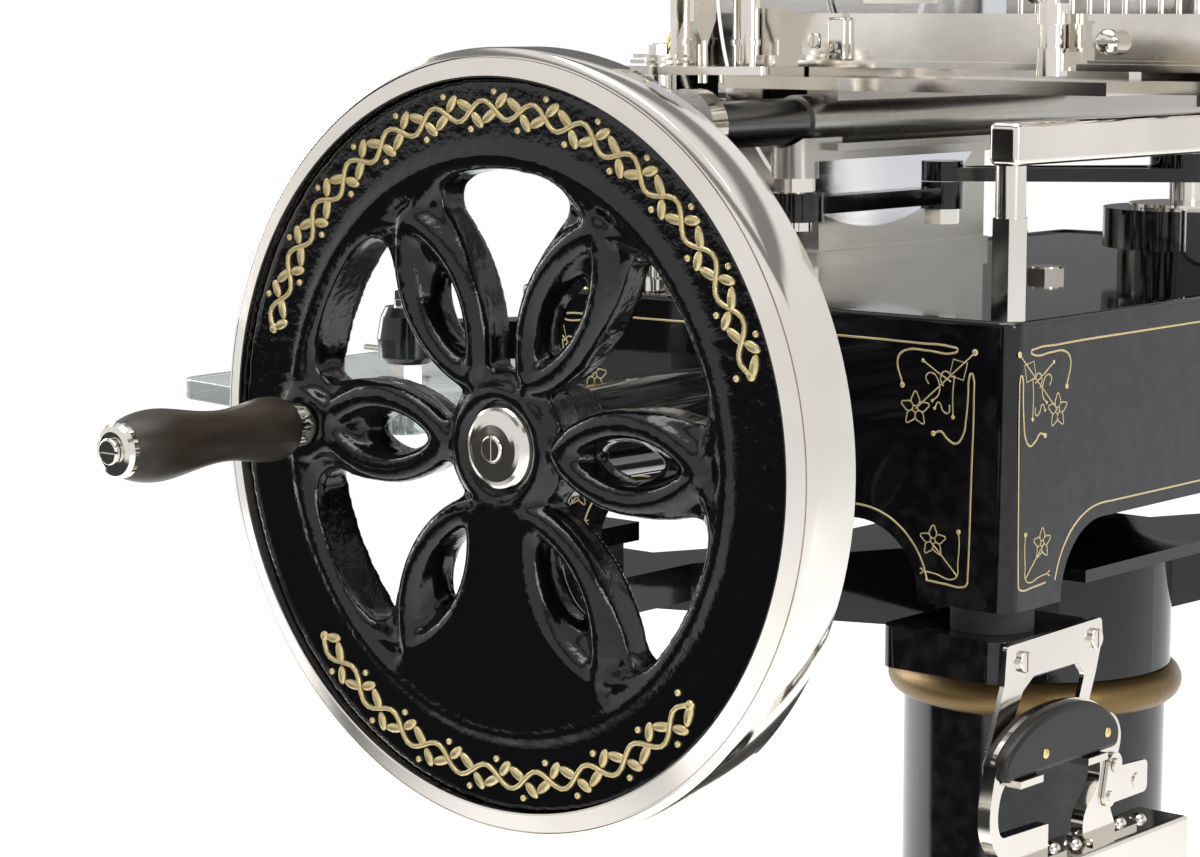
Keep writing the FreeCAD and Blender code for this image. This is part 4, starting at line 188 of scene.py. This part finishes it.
# %% Floor
TO_WHEEL = (0, 0.42, 0)
floor_form = bmesh.new()
bmesh.ops.create_grid(floor_form, x_segments=1, y_segments=1, size=14)
floor_mesh = bpy.data.meshes.new("floor")
floor_form.to_mesh(floor_mesh)
floor_form.free()
floor = bpy.data.objects.new("floor", floor_mesh)
bpy.context.scene.collection.objects.link(floor)
floor_paint = bpy.data.materials.new("floor_paint")
floor_mesh.materials.append(floor_paint)
tree, output = tree_of(floor_paint)
pale = add_node(tree, "ShaderNodeBsdfDiffuse", {"Color": (0.86, 0.86, 0.86, 1)})
shade = add_node(tree, "ShaderNodeBsdfDiffuse", {"Color": (0.96, 0.96, 0.96, 1)})
glow = add_node(tree, "ShaderNodeEmission", {"Strength": 0.62})
bright = add_node(tree, "ShaderNodeAddShader", {0: shade.outputs[0], 1: glow.outputs[0]})
dim = add_node(tree, "ShaderNodeEmission", {"Strength": 0.06})
spot = add_node(tree, "ShaderNodeTexCoord").outputs["Object"]
from_wheel = vector_maths(tree, "ADD", spot, TO_WHEEL)
side = add_node(tree, "ShaderNodeGroup", {"Direction": from_wheel}, node_tree=DARK_SIDE).outputs["Mask"]
far_side = maths(tree, "MULTIPLY", side, in_range(tree, vector_maths(tree, "LENGTH", spot), 0.9, 1.8))
unlit = maths(tree, "MULTIPLY", far_side, add_node(tree, "ShaderNodeLightPath").outputs["Is Glossy Ray"])
seen = add_node(tree, "ShaderNodeMixShader", {0: unlit, 1: bright.outputs[0], 2: dim.outputs[0]})
split_by_ray(tree, output, pale, seen)
print("floor laid")


# %% Lamps
def soft_lamp(name, place, aim, width, height, watts):
    """Rectangular lamp that faces a point."""
    lamp = bpy.data.lights.new(name, "AREA")
    lamp.shape = "RECTANGLE"
    lamp.size = width
    lamp.size_y = height
    lamp.energy = watts
    holder = bpy.data.objects.new(name, lamp)
    bpy.context.scene.collection.objects.link(holder)
    holder.location = place
    holder.rotation_euler = (Vector(aim) - Vector(place)).to_track_quat("-Z", "Y").to_euler()


soft_lamp("overhead", (0.1, -0.5, 3.2), (0, -0.2, 0.9), 2.6, 1.6, 62)
soft_lamp("left_window", (-3.3, -0.3, 1.9), (0, -0.4, 0.9), 1.2, 2.2, 60)
soft_lamp("right_window", (3.0, -1.1, 1.9), (0.1, -0.1, 0.9), 0.9, 2.0, 34)

# %% [markdown]
# ## Shared effects
#
# Two effects turn up on many finishes, so each is a node group: a faint unevenness of the surface, and wear
# along sharp edges. They only hand out masks, roughness and normals. The shader that uses them stays in each
# material.

# %% Uneven surface
UNEVEN, given, made = make_group(
    "uneven_surface",
    [("Scale", "NodeSocketFloat", 60.0), ("Height", "NodeSocketFloat", 0.05), ("Low", "NodeSocketFloat", 0.1),
     ("High", "NodeSocketFloat", 0.2)],
    [("Normal", "NodeSocketVector"), ("Roughness", "NodeSocketFloat"), ("Mask", "NodeSocketFloat")])
place = add_node(UNEVEN, "ShaderNodeTexCoord").outputs["Object"]
fine = add_node(UNEVEN, "ShaderNodeTexNoise", {"Vector": place, "Scale": given["Scale"], "Detail": 5})
bump = add_node(UNEVEN, "ShaderNodeBump",
                {"Strength": given["Height"], "Distance": 0.001, "Height": fine.outputs["Fac"]})
smear = add_node(UNEVEN, "ShaderNodeTexNoise", {"Vector": place, "Scale": 9, "Detail": 4}).outputs["Fac"]
roughness = in_range(UNEVEN, smear, 0.35, 0.68, given["Low"], given["High"], "LINEAR")
for label, value in (("Normal", bump.outputs["Normal"]), ("Roughness", roughness), ("Mask", smear)):
    UNEVEN.links.new(value, made[label])
print("group", UNEVEN.name)

# %% Edge wear
WEAR, given, made = make_group(
    "edge_wear", [("Amount", "NodeSocketFloat", 0.5), ("Scale", "NodeSocketFloat", 90.0)],
    [("Mask", "NodeSocketFloat")])
pointed = add_node(WEAR, "ShaderNodeNewGeometry").outputs["Pointiness"]
place = add_node(WEAR, "ShaderNodeTexCoord").outputs["Object"]
patchy = add_node(WEAR, "ShaderNodeTexNoise", {"Vector": place, "Scale": given["Scale"]}).outputs["Fac"]
edges = in_range(WEAR, pointed, 0.52, 0.66, step="LINEAR")
broken = in_range(WEAR, patchy, 0.45, 0.62, step="LINEAR")
mask = maths(WEAR, "MULTIPLY", maths(WEAR, "MULTIPLY", edges, broken), given["Amount"])
WEAR.links.new(mask, made["Mask"])
print("group", WEAR.name)

# %% [markdown]
# ## Finishes
#
# Each finish is a Principled shader with its fixed numbers on its own sockets, and a group or a noise for
# what changes over the surface. One helper makes the shader, others link unevenness, tint, wear and relief.


# %% Finish helpers
FINISH = {}


def start_finish(slot, name, colour, sockets):
    """Tree and Principled shader of a new material, wired to its output and kept under its slot."""
    FINISH[slot] = bpy.data.materials.new(name)
    tree, output = tree_of(FINISH[slot])
    shader = add_node(tree, "ShaderNodeBsdfPrincipled", {"Base Color": (*colour, 1), "IOR": 1.5, **sockets})
    tree.links.new(shader.outputs[0], output.inputs["Surface"])
    return tree, shader


def add_uneven(tree, shader, scale, height, low, high):
    """Link the uneven surface to a shader and return its mask."""
    inputs = {"Scale": scale, "Height": height, "Low": low, "High": high}
    uneven = add_node(tree, "ShaderNodeGroup", inputs, node_tree=UNEVEN)
    for label in ("Normal", "Roughness"):
        tree.links.new(uneven.outputs[label], shader.inputs[label])
    return uneven.outputs["Mask"]


def add_tint(tree, shader, mask, base, other):
    """Mix two colours by a mask into the base colour."""
    inputs = {"Factor": mask, "A": (*base, 1), "B": (*other, 1)}
    mix = add_node(tree, "ShaderNodeMix", inputs, data_type="RGBA")
    tree.links.new(mix.outputs["Result"], shader.inputs["Base Color"])


def add_wear(tree, shader, amount, base, worn):
    """Broken, brighter colour along sharp edges."""
    wear = add_node(tree, "ShaderNodeGroup", {"Amount": amount}, node_tree=WEAR)
    add_tint(tree, shader, wear.outputs["Mask"], base, worn)


def add_relief(tree, shader, height, strength, distance):
    """Bump from a height, on the shader's normal."""
    bump = add_node(tree, "ShaderNodeBump", {"Strength": strength, "Distance": distance, "Height": height})
    tree.links.new(bump.outputs["Normal"], shader.inputs["Normal"])


# %% Gloss enamel, on smooth iron and over the wheel's rougher casting
BLACK = (0.0045, 0.0045, 0.0055)
for slot, name, ior, surface, amount, worn in (
        ("enamel", "gloss_enamel", 1.47, (26, 0.08, 0.03, 0.09), 0.35, (0.06, 0.055, 0.05)),
        ("casting", "enamelled_casting", 1.45, (150, 0.5, 0.05, 0.12), 0.25, (0.05, 0.045, 0.04))):
    tree, shader = start_finish(slot, name, BLACK, {"IOR": ior})
    add_uneven(tree, shader, *surface)
    add_wear(tree, shader, amount, BLACK, worn)
print("enamel", BLACK)

# %% [markdown]
# Most other finishes differ only in numbers, so they stand in a table: slot and name, plain colour, fixed
# sockets, the unevenness as scale, height and range of roughness, and the two colours that its mask blends.

# %% Blotched metals, rubber, stone and horn
METAL, DULL = "Metallic", "Specular IOR Level"
for slot, name, colour, sockets, surface, base, other in (
        ("nickel", "nickel_plate", (0.78, 0.745, 0.69), {METAL: 1.0}, (38, 0.05, 0.05, 0.15),
         (0.84, 0.81, 0.76), (0.55, 0.51, 0.45)),
        ("satin", "satin_nickel", (0.45, 0.435, 0.40), {METAL: 1.0}, (60, 0.08, 0.20, 0.32),
         (0.48, 0.465, 0.43), (0.38, 0.365, 0.33)),
        ("iron", "oiled_iron", (0.12, 0.12, 0.125), {METAL: 0.7}, (130, 0.35, 0.28, 0.5),
         (0.10, 0.10, 0.105), (0.17, 0.16, 0.15)),
        ("gilt", "bronze_paint", (0.22, 0.15, 0.065), {METAL: 0.7}, (210, 0.22, 0.34, 0.48),
         (0.23, 0.148, 0.052), (0.12, 0.074, 0.026)),
        ("gilding", "gilding", (0.70, 0.58, 0.31), {METAL: 0.6}, (320, 0.30, 0.26, 0.44),
         (0.76, 0.64, 0.36), (0.55, 0.43, 0.20)),
        ("brass", "polished_brass", (0.80, 0.60, 0.26), {METAL: 1.0}, (60, 0.06, 0.10, 0.22),
         (0.84, 0.64, 0.30), (0.66, 0.46, 0.18)),
        ("rubber", "rubber", (0.035, 0.035, 0.038), {DULL: 0.35}, (400, 0.45, 0.55, 0.75),
         (0.030, 0.030, 0.033), (0.055, 0.053, 0.050)),
        ("stone", "sharpening_grit", (0.42, 0.41, 0.39), {DULL: 0.2}, (1600, 0.8, 0.85, 0.95),
         (0.48, 0.47, 0.44), (0.30, 0.29, 0.28)),
        ("black_grip", "black_horn", (0.010, 0.009, 0.008), {DULL: 0.3}, (70, 0.14, 0.24, 0.42),
         (0.007, 0.0065, 0.006), (0.020, 0.017, 0.014))):
    tree, shader = start_finish(slot, name, colour, sockets)
    add_tint(tree, shader, add_uneven(tree, shader, *surface), base, other)
print("finishes so far", len(FINISH))


# %% Ground steel and stained wood, both with lines along one way
def add_grain(tree, shader, scale, strength, base, other, distortion=0.0):
    """Fine lines from a stretched noise; scale is given along X, Y and Z."""
    place = add_node(tree, "ShaderNodeTexCoord").outputs["Object"]
    stretch = add_node(tree, "ShaderNodeMapping", {"Vector": place, "Scale": scale}).outputs["Vector"]
    grain = add_node(tree, "ShaderNodeTexNoise",
                     {"Vector": stretch, "Scale": 1, "Detail": 6, "Distortion": distortion}).outputs["Fac"]
    add_relief(tree, shader, grain, strength, 0.0006)
    add_tint(tree, shader, grain, base, other)


tree, shader = start_finish("dark_steel", "dark_ground_steel", (0.2, 0.2, 0.21),
                            {METAL: 1.0, "Roughness": 0.24})
add_grain(tree, shader, (900, 30, 900), 0.10, (0.10, 0.10, 0.10), (0.19, 0.185, 0.18))
tree, shader = start_finish("wood", "stained_wood", (0.03, 0.022, 0.015),
                            {DULL: 0.25, "Roughness": 0.42, "Coat Weight": 0.06, "Coat Roughness": 0.2})
add_grain(tree, shader, (260, 16, 260), 0.35, (0.010, 0.0075, 0.005), (0.040, 0.030, 0.019), distortion=0.6)
print("ground steel and wood")

# %% Round grinding of the knife
KNIFE_CENTRE = Vector((-0.104, -0.0474, 1.155))
tree, shader = start_finish("steel", "knife_steel", (0.62, 0.63, 0.66), {METAL: 1.0, "Roughness": 0.13})
place = add_node(tree, "ShaderNodeTexCoord").outputs["Object"]
centred = add_node(tree, "ShaderNodeMapping", {"Vector": place, "Location": -KNIFE_CENTRE}).outputs["Vector"]
rings = add_node(tree, "ShaderNodeTexWave", {"Vector": centred, "Scale": 420, "Distortion": 1.2},
                 wave_type="RINGS", rings_direction="X").outputs["Fac"]
add_relief(tree, shader, rings, 0.015, 0.0002)
add_tint(tree, shader, rings, (0.60, 0.61, 0.64), (0.64, 0.65, 0.68))
print("knife steel")

# %% Clear glass, a little smeared
tree, shader = start_finish("glass", "clear_glass", (0.93, 0.985, 0.965),
                            {"IOR": 1.46, "Transmission Weight": 0.84})
place = add_node(tree, "ShaderNodeTexCoord").outputs["Object"]
smear = add_node(tree, "ShaderNodeTexNoise", {"Vector": place, "Scale": 24}).outputs["Fac"]
tree.links.new(in_range(tree, smear, 0.0, 1.0, 0.0, 0.05, "LINEAR"), shader.inputs["Roughness"])
print("glass")

# %% [markdown]
# ## Dress the solids
#
# A solid whose shape is right keeps its mesh and only takes a finish. The record names a slot for each node,
# so the finish is looked up by that slot. Two broad plates have a satin face in place of a bright one.

# %% Assign the finishes
slot_of = {entry["node"]: entry["material_slot"] for entry in frame["record"]["subparts"]}
for node, solid in frame["nodes"].items():
    satin = node in ("knife_arm", "carriage_saddle")
    solid.data.materials.clear()
    solid.data.materials.append(FINISH["satin" if satin else slot_of[node]])
print("dressed", len(slot_of))

# %% [markdown]
# ## Beads and strokes
#
# Cast ribs, raised scrolls and painted lines are all a stroke along a path. A curve with a round bevel makes
# the stroke, and its mesh is taken before it gets its place. The same helper then serves a rib of a
# centimetre and a line of a millimetre.


# %% Stroke helper
def stroke(paths, depth, closed=False, smooth=False, sides=2):
    """Mesh of a round bead along each path; points in metres."""
    curve = bpy.data.curves.new("stroke", "CURVE")
    curve.dimensions = "3D"
    curve.bevel_depth = depth
    curve.bevel_resolution = sides
    curve.resolution_u = 6
    curve.use_fill_caps = True
    for path in paths:
        spline = curve.splines.new("BEZIER" if smooth else "POLY")
        points = spline.bezier_points if smooth else spline.points
        points.add(len(path) - 1)
        for point, place in zip(points, path):
            if smooth:
                point.co = place
                point.handle_left_type = point.handle_right_type = "AUTO"
            else:
                point.co = (*place, 1)
        spline.use_cyclic_u = closed
    holder = bpy.data.objects.new("stroke", curve)
    bpy.context.scene.collection.objects.link(holder)
    mesh = bpy.data.meshes.new_from_object(holder.evaluated_get(bpy.context.evaluated_depsgraph_get()))
    bpy.data.objects.remove(holder)
    bpy.data.curves.remove(curve)
    return mesh


# %% Piece helper
def add_piece(name, form, body, finish, node=None):
    """Object from a bmesh, welded, facing outwards, on its body and with its finish."""
    bmesh.ops.remove_doubles(form, verts=form.verts, dist=0.000005)
    bmesh.ops.recalc_face_normals(form, faces=form.faces)
    for face in form.faces:
        face.smooth = True
    mesh = bpy.data.meshes.new(name)
    form.to_mesh(mesh)
    form.free()
    mesh.materials.append(FINISH[finish])
    piece = bpy.data.objects.new(name, mesh)
    bpy.context.scene.collection.objects.link(piece)
    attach(piece, body)
    if node:
        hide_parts(node)
    print(name, "faces", len(mesh.polygons))
    return piece


# %% [markdown]
# ## The flower wheel
#
# The wheel is one iron casting. Moulding sand leaves no sharp edge, and each petal is a fat rounded rope
# round a bowl with a small opening. The CAD model has the openings and the levels, but with crisp edges. So
# its mesh is copied, the copy's raised ribs are pressed flat, ropes are laid along the petals and round the
# openings, and a remesh melts everything into one skin. A few rounds of smoothing soften it as paint does.

# %% Places on the wheel
WHEEL_Y = -0.542
WHEEL_Z = 0.896
PETAL = (0.041, 0.139, 0.0205)      # inner and outer radius, and half width, of a petal's rope
PETALS = 6
HUB_R = 0.0345
BOWL_R = 0.149                      # the petals' bowls lie inside this, and the web of the ring outside
BOWL_T, WEB_T = 0.010, 0.005
RING_R = 0.170                      # the flat ring with the vine starts here
BOSS_X = -0.148                     # boss of the handle's spindle
BOSS_R = 0.0205


def on_wheel(r, degrees, t):
    """Point at a radius and an angle on the wheel, t behind the rim's front."""
    turn = math.radians(degrees)
    return Vector((r * math.cos(turn), WHEEL_Y + t, WHEEL_Z + r * math.sin(turn)))


def petal_side(r_in, r_out, half, degrees, t, side, count=14):
    """Points along one side of a pointed oval on a spoke of the wheel."""
    length = (r_out - r_in) / 2
    radius = (length ** 2 + half ** 2) / (2 * half)
    reach = math.asin(length / radius)
    points = []
    for step in range(count + 1):
        turn = -reach + 2 * reach * step / count
        along = (r_in + r_out) / 2 + radius * math.sin(turn)
        across = side * (radius * math.cos(turn) - radius + half)
        bend = math.degrees(math.atan2(across, along))
        points.append(on_wheel(math.hypot(along, across), degrees + bend, t))
    return points


# %% Casting
casting = bmesh.new()
casting.from_mesh(frame["nodes"]["flywheel"].data)
bmesh.ops.remove_doubles(casting, verts=casting.verts, dist=0.00001)
for vert in casting.verts:
    radius = math.hypot(vert.co.x, vert.co.z - WHEEL_Z)
    from_boss = math.hypot(vert.co.x - BOSS_X, vert.co.z - WHEEL_Z)
    level = BOWL_T if radius < BOWL_R else WEB_T
    if HUB_R < radius < RING_R and from_boss > BOSS_R:
        vert.co.y = max(vert.co.y, WHEEL_Y + level)
print("casting faces", len(casting.faces))

# %% Ropes round petals, ring and corners
for depth, t, shape in ((0.0085, 0.0112, PETAL), (0.0070, 0.0180, (0.049, 0.120, 0.0165)),
                        (0.0060, 0.0245, (0.050, 0.113, 0.0155))):
    loops = []
    for petal in range(PETALS):
        up, down = (petal_side(*shape, 60 * petal, t, side) for side in (1, -1))
        loops.append(up + down[::-1][1:-1])
    casting.from_mesh(stroke(loops, depth, closed=True, sides=3))
for depth, t, radius, count in ((0.0072, 0.0098, 0.1575, 120), (0.0052, 0.0085, 0.0300, 60)):
    circle = [on_wheel(radius, 360 // count * step, t) for step in range(count)]
    casting.from_mesh(stroke([circle], depth, closed=True, sides=3))
path = ((0.134, 0), (0.1415, 3), (0.1475, 7.5), (0.1525, 13.5), (0.1560, 20))
corners = [[on_wheel(r, 60 * petal + side * turn, 0.0105) for r, turn in path]
           for petal in range(PETALS) for side in (1, -1)]
casting.from_mesh(stroke(corners, 0.0056, smooth=True, sides=3))
print("with ropes", len(casting.faces))

# %% Balance weight between the lower petals
WEIGHT_T = 0.0035
WEIGHT_DEPTH = 0.012
outline = [on_wheel(0.030, 288, WEIGHT_T)]
outline += petal_side(*PETAL, 300, WEIGHT_T, -1)
outline += [on_wheel(0.157, 302 - 4 * step, WEIGHT_T) for step in range(17)]
outline += petal_side(*PETAL, 240, WEIGHT_T, 1)[::-1]
outline += [on_wheel(0.030, 252, WEIGHT_T)]
weight = bmesh.new()
face = weight.faces.new([weight.verts.new(point) for point in outline])
grown = bmesh.ops.extrude_face_region(weight, geom=[face])["geom"]
back = [item for item in grown if isinstance(item, bmesh.types.BMVert)]
bmesh.ops.translate(weight, vec=(0, WEIGHT_DEPTH, 0), verts=back)
bmesh.ops.recalc_face_normals(weight, faces=weight.faces)
weight_mesh = bpy.data.meshes.new("weight")
weight.to_mesh(weight_mesh)
weight.free()
casting.from_mesh(weight_mesh)
print("balance weight points", len(outline))


# %% Melt and soften
def melted(form, voxel, rounds):
    """One soft skin over overlapping closed shapes, as a bmesh."""
    mesh = bpy.data.meshes.new("melt")
    form.to_mesh(mesh)
    form.free()
    holder = bpy.data.objects.new("melt", mesh)
    bpy.context.scene.collection.objects.link(holder)
    skin = holder.modifiers.new("skin", "REMESH")
    skin.mode = "VOXEL"
    skin.voxel_size = voxel
    soften = holder.modifiers.new("soften", "SMOOTH")
    soften.factor = 0.5
    soften.iterations = rounds
    result = bmesh.new()
    result.from_mesh(holder.evaluated_get(bpy.context.evaluated_depsgraph_get()).to_mesh())
    bpy.data.objects.remove(holder)
    return result


wheel = melted(casting, voxel=0.0022, rounds=7)
add_piece("cast_wheel", wheel, "wheel", "casting", node="flywheel")

# %% [markdown]
# ## The plated rim
#
# The nickel band's face isn't flat: it slopes back towards its edge, with a fine turned groove, so it catches
# the light all round while the enamel beside it stays dark. It is a closed profile, given as radius and depth
# behind the rim's front, and spun once round the axle.

# %% Rim
profile = ((0.1990, 0.0002), (0.2000, 0.0), (0.2094, 0.0032), (0.2096, 0.0042), (0.2104, 0.0045),
           (0.2106, 0.0038), (0.2130, 0.0050), (0.2144, 0.0065), (0.2150, 0.0086), (0.2150, 0.0370),
           (0.2144, 0.0384), (0.2130, 0.0390), (0.1990, 0.0390))
rim = bmesh.new()
first = [rim.verts.new(on_wheel(r, 0, t)) for r, t in profile]
edges = [rim.edges.new((a, b)) for a, b in zip(first, first[1:] + first[:1])]
bmesh.ops.spin(rim, geom=first + edges, cent=(0, 0, WHEEL_Z), axis=(0, 1, 0), steps=180, angle=2 * math.pi,
               use_merge=True)
rim_piece = add_piece("plated_rim", rim, "wheel", "nickel", node="flywheel_rim")
rim_piece.data.set_sharp_from_angle(angle=math.radians(24))

# %% [markdown]
# ## The column's skin
#
# The pedestal's foot sweeps out in one curve. The CAD mesh shows flat facets there, so a welded copy of it
# with smooth shading stands in its place. Only edges that really turn a corner stay sharp.

# %% Column
column = bmesh.new()
column.from_mesh(frame["nodes"]["pedestal_column"].data)
column_slot = slot_of["pedestal_column"]
column_piece = add_piece("column_skin", column, "base", column_slot, node="pedestal_column")
column_piece.data.set_sharp_from_angle(angle=math.radians(20))

# %% [markdown]
# ## Gilded vine on the rim
#
# The enamelled face beside the rim carries raised ornament picked out in gold. Here it is a running vine: a
# waving stem with two leaves and a berry in each bend. The stem is a stroke, leaves and berries are flattened
# balls, and all of it is sunk a little into the enamel so that nothing floats.

# %% Vine
VINE_R = 0.1818
WAVE_LENGTH = 0.036
FACE_T = 0.0046


def flat_ball(form, place, turn, size):
    """Ball of three sizes, turned about the wheel's axis."""
    place_it = Matrix.Translation(place) @ Matrix.Rotation(-turn, 4, "Y") @ Matrix.Diagonal((*size, 1))
    bmesh.ops.create_uvsphere(form, u_segments=14, v_segments=8, radius=1, matrix=place_it)


vine = bmesh.new()
for first, last in ((163, 17), (222, 318)):
    span = last - first
    waves = max(2, round(abs(span) * math.pi / 180 * VINE_R / WAVE_LENGTH))
    stem = []
    for step in range(waves * 10 + 1):
        share = step / (waves * 10)
        swing = math.sin(2 * math.pi * waves * share)
        stem.append(on_wheel(VINE_R + 0.0052 * swing, first + span * share, FACE_T))
    vine.from_mesh(stroke([stem], 0.0015, sides=2))
    way = 1 if span > 0 else -1
    for bend in range(waves * 2):
        share = (bend + 0.5) / (waves * 2)
        lift = -1 if bend % 2 else 1
        angle = first + span * share
        tangent = math.radians(angle) + way * math.pi / 2
        for shift, height, size, lean in ((1.6, -0.0030, 0.0068, 0.55), (-1.4, -0.0052, 0.0056, -0.85)):
            where = on_wheel(VINE_R + lift * height, angle + way * shift, FACE_T)
            flat_ball(vine, where, tangent - way * lift * lean, (size, 0.0017, 0.0028))
        where = on_wheel(VINE_R + lift * 0.0098, angle + way * 2.6, FACE_T)
        flat_ball(vine, where, 0, (0.0019, 0.0017, 0.0019))
    for end in (first, last):
        flat_ball(vine, on_wheel(VINE_R, end, FACE_T), 0, (0.0030, 0.0019, 0.0030))
add_piece("rim_vine", vine, "wheel", "gilding")

# %% [markdown]
# ## Painted lining
#
# Gold lines run along the base's four faces and end in a spray of flowers at each corner. A coach painter
# draws them with a long brush, so each is a stroke of even width. One corner is drawn once, in millimetres:
# p goes inwards from the corner's line and q is the height above the floor. It is then laid on every corner
# of every face.

# %% One corner's spray
LINE_TOP = 943.0
hairpin = [(p, LINE_TOP + up) for p, up in (
    (62, 1), (38, 0.6), (16, 0), (11.8, -1.4), (15, -3.4), (32, -3.2), (47, -4), (52, -8), (52.4, -14),
    (50.6, -19), (49, -23.5))]
upright = [(31, 808.4), (18, 807.6), (5.5, 807.4), (3.2, 809), (2.6, 814), (1.2, 870), (0.4, 918),
           (0.8, 926.5), (2.2, 929), (3.8, 926), (4.2, 918), (5.4, 903), (7.6, 893), (12, 888.6),
           (17.5, 890.6), (22.5, 894.6), (27, 893.2)]
stem_top = [(0, 941), (40, 906)]
foot_stem = [(26, 829), (9.8, 813.2)]
bud_stem = [(9.2, 838), (8.6, 832), (9.4, 820), (9.8, 813.2), (14, 810.6), (24, 812.6), (33, 813.4)]
crossing = [(35, 934), (24, 927.5), (16, 923.5)]
drop = [(13.6, 927), (14.6, 916), (14.2, 904)]
curls = [[(31, 921), (33, 925), (29, 927.5), (24, 922), (24.5, 915), (28, 912)],
         [(15, 926), (20, 929), (23, 925), (21, 920.5)],
         [(26.5, 908), (24, 911), (21, 906.4), (17.5, 905.4), (16.6, 910)],
         [(35, 814.8), (33, 813.4), (35, 811.6)]]
square = [(5, 934.6), (14.4, 936.2), (17, 927), (7.6, 924.8)]
print("strokes per corner", 8 + len(curls))


def flower(p, q, size):
    """Five petals, each a pointed loop, and an eye."""
    loops = []
    for petal in range(5):
        turn = math.radians(90 + 72 * petal)
        along = Vector((math.cos(turn), math.sin(turn)))
        across = Vector((-along.y, along.x))
        loops.append([Vector((p, q)) + along * size * a + across * size * b
                      for a, b in ((0.18, 0), (0.5, 0.3), (0.78, 0.2), (1.05, 0), (0.78, -0.2), (0.5, -0.3))])
    return loops


# %% The corner's lines as one mesh
BROAD, FINE, FINEST = 0.00062, 0.00042, 0.00038


def flat_paths(paths):
    """Millimetre points on a face, as metre points in its plane."""
    return [[(p / 1000, q / 1000, 0) for p, q in path] for path in paths]


def corner_form(arch):
    """Mesh of one corner's lines in the plane of its face."""
    form = bmesh.new()
    for paths, depth, closed, smooth in (
            ([hairpin, upright, arch], BROAD, False, True),
            ([stem_top, foot_stem, bud_stem, crossing, drop], FINE, False, True),
            (curls, FINE, False, True),
            (flower(40, 906, 9.5) + flower(26.6, 831.5, 8.5), FINEST, True, True),
            ([square], FINEST, True, False)):
        form.from_mesh(stroke(flat_paths(paths), depth, closed=closed, smooth=smooth, sides=1))
    for p, q, size in ((49, 919, 1.7), (0, 941, 2.0), (27.4, 893, 1.6), (9.2, 838.5, 1.5), (14.2, 903.4, 1.3),
                       (28.4, 911.6, 1.0), (26.8, 907.4, 1.0), (35, 934, 1.2)):
        dot = Matrix.Translation((p / 1000, q / 1000, 0)) @ Matrix.Scale(size / 1000, 4)
        bmesh.ops.create_uvsphere(form, u_segments=10, v_segments=6, radius=1, matrix=dot)
    bmesh.ops.recalc_face_normals(form, faces=form.faces)
    mesh = bpy.data.meshes.new("corner_lines")
    form.to_mesh(mesh)
    form.free()
    return mesh


# %% Lay the lining on the faces
ARCH_FOOT = 796.0
ARCH_RADIUS = 43.0
ARCH_LINE = 8.0
ARCH_TOP = ARCH_FOOT + ARCH_RADIUS + ARCH_LINE
PAINT_RELIEF = 0.35                 # how far a round stroke is pressed flat against its face


def arch_path(edge, line):
    """Line that follows an arch; the arch's edge and the corner's line are given from the face's middle."""
    centre = line - edge + ARCH_RADIUS
    radius = ARCH_RADIUS + ARCH_LINE
    turns = [math.radians(degrees) for degrees in (14, 28, 42, 56, 70, 84)]
    rise = [(centre - radius * math.cos(turn), ARCH_FOOT + radius * math.sin(turn)) for turn in turns]
    return rise + [(centre + 12, ARCH_TOP), (centre + 40, ARCH_TOP), (line, ARCH_TOP)]


lining = bmesh.new()
for is_end, half, line, edge in ((True, 318.0, 160.5, 124.0), (False, 185.5, 311.0, 264.0)):
    corner_mesh = corner_form(arch_path(edge, line))
    top = stroke(flat_paths([[(62, LINE_TOP + 1), (line, LINE_TOP + 1.4)]]), BROAD, sides=1)
    for face_side in (1, -1):
        for hand in (1, -1):
            if is_end:
                axes = ((-hand, 0, 0), (0, 0, 1), (0, PAINT_RELIEF * face_side, 0))
                origin = (hand * line / 1000, face_side * half / 1000, 0)
            else:
                axes = ((0, -hand, 0), (0, 0, 1), (PAINT_RELIEF * face_side, 0, 0))
                origin = (face_side * half / 1000, hand * line / 1000, 0)
            lay = Matrix.Translation(origin) @ Matrix(axes).transposed().to_4x4()
            for mesh in (corner_mesh, top):
                laid = mesh.copy()
                laid.transform(lay)
                lining.from_mesh(laid)
                bpy.data.meshes.remove(laid)
add_piece("gold_lining", lining, "base", "gilding")

# %% [markdown]
# ## Rivets of the pusher's grip
#
# Two pins hold the black scales on the handle, and their domed ends show on both sides. Each end is a flat
# ball, half sunk in the scale.

# %% Rivets
rivets = bmesh.new()
for y, z in ((-0.3128, 0.7187), (-0.2476, 0.7190)):
    for x in (0.2088, 0.1922):
        place_it = Matrix.Translation((x, y, z)) @ Matrix.Diagonal((0.0013, 0.0030, 0.0030, 1))
        bmesh.ops.create_uvsphere(rivets, u_segments=20, v_segments=10, radius=1, matrix=place_it)
add_piece("grip_rivets", rivets, "pusher", "brass")

# %% [markdown]
# ## Stop block on the table's beam
#
# A small plated block with soft edges is screwed to the front beam, next to its slotted screw. It is a cube
# whose place and size come from one matrix, and its edges are bevelled.

# %% Stop block
block = bmesh.new()
place_it = Matrix.Translation((-0.0235, -0.2000, 1.1120)) @ Matrix.Diagonal((0.0130, 0.0070, 0.0270, 1))
bmesh.ops.create_cube(block, size=1, matrix=place_it)
bmesh.ops.bevel(block, geom=block.edges[:], offset=0.0022, segments=4, profile=0.5, affect="EDGES")
add_piece("beam_block", block, "table", "nickel")
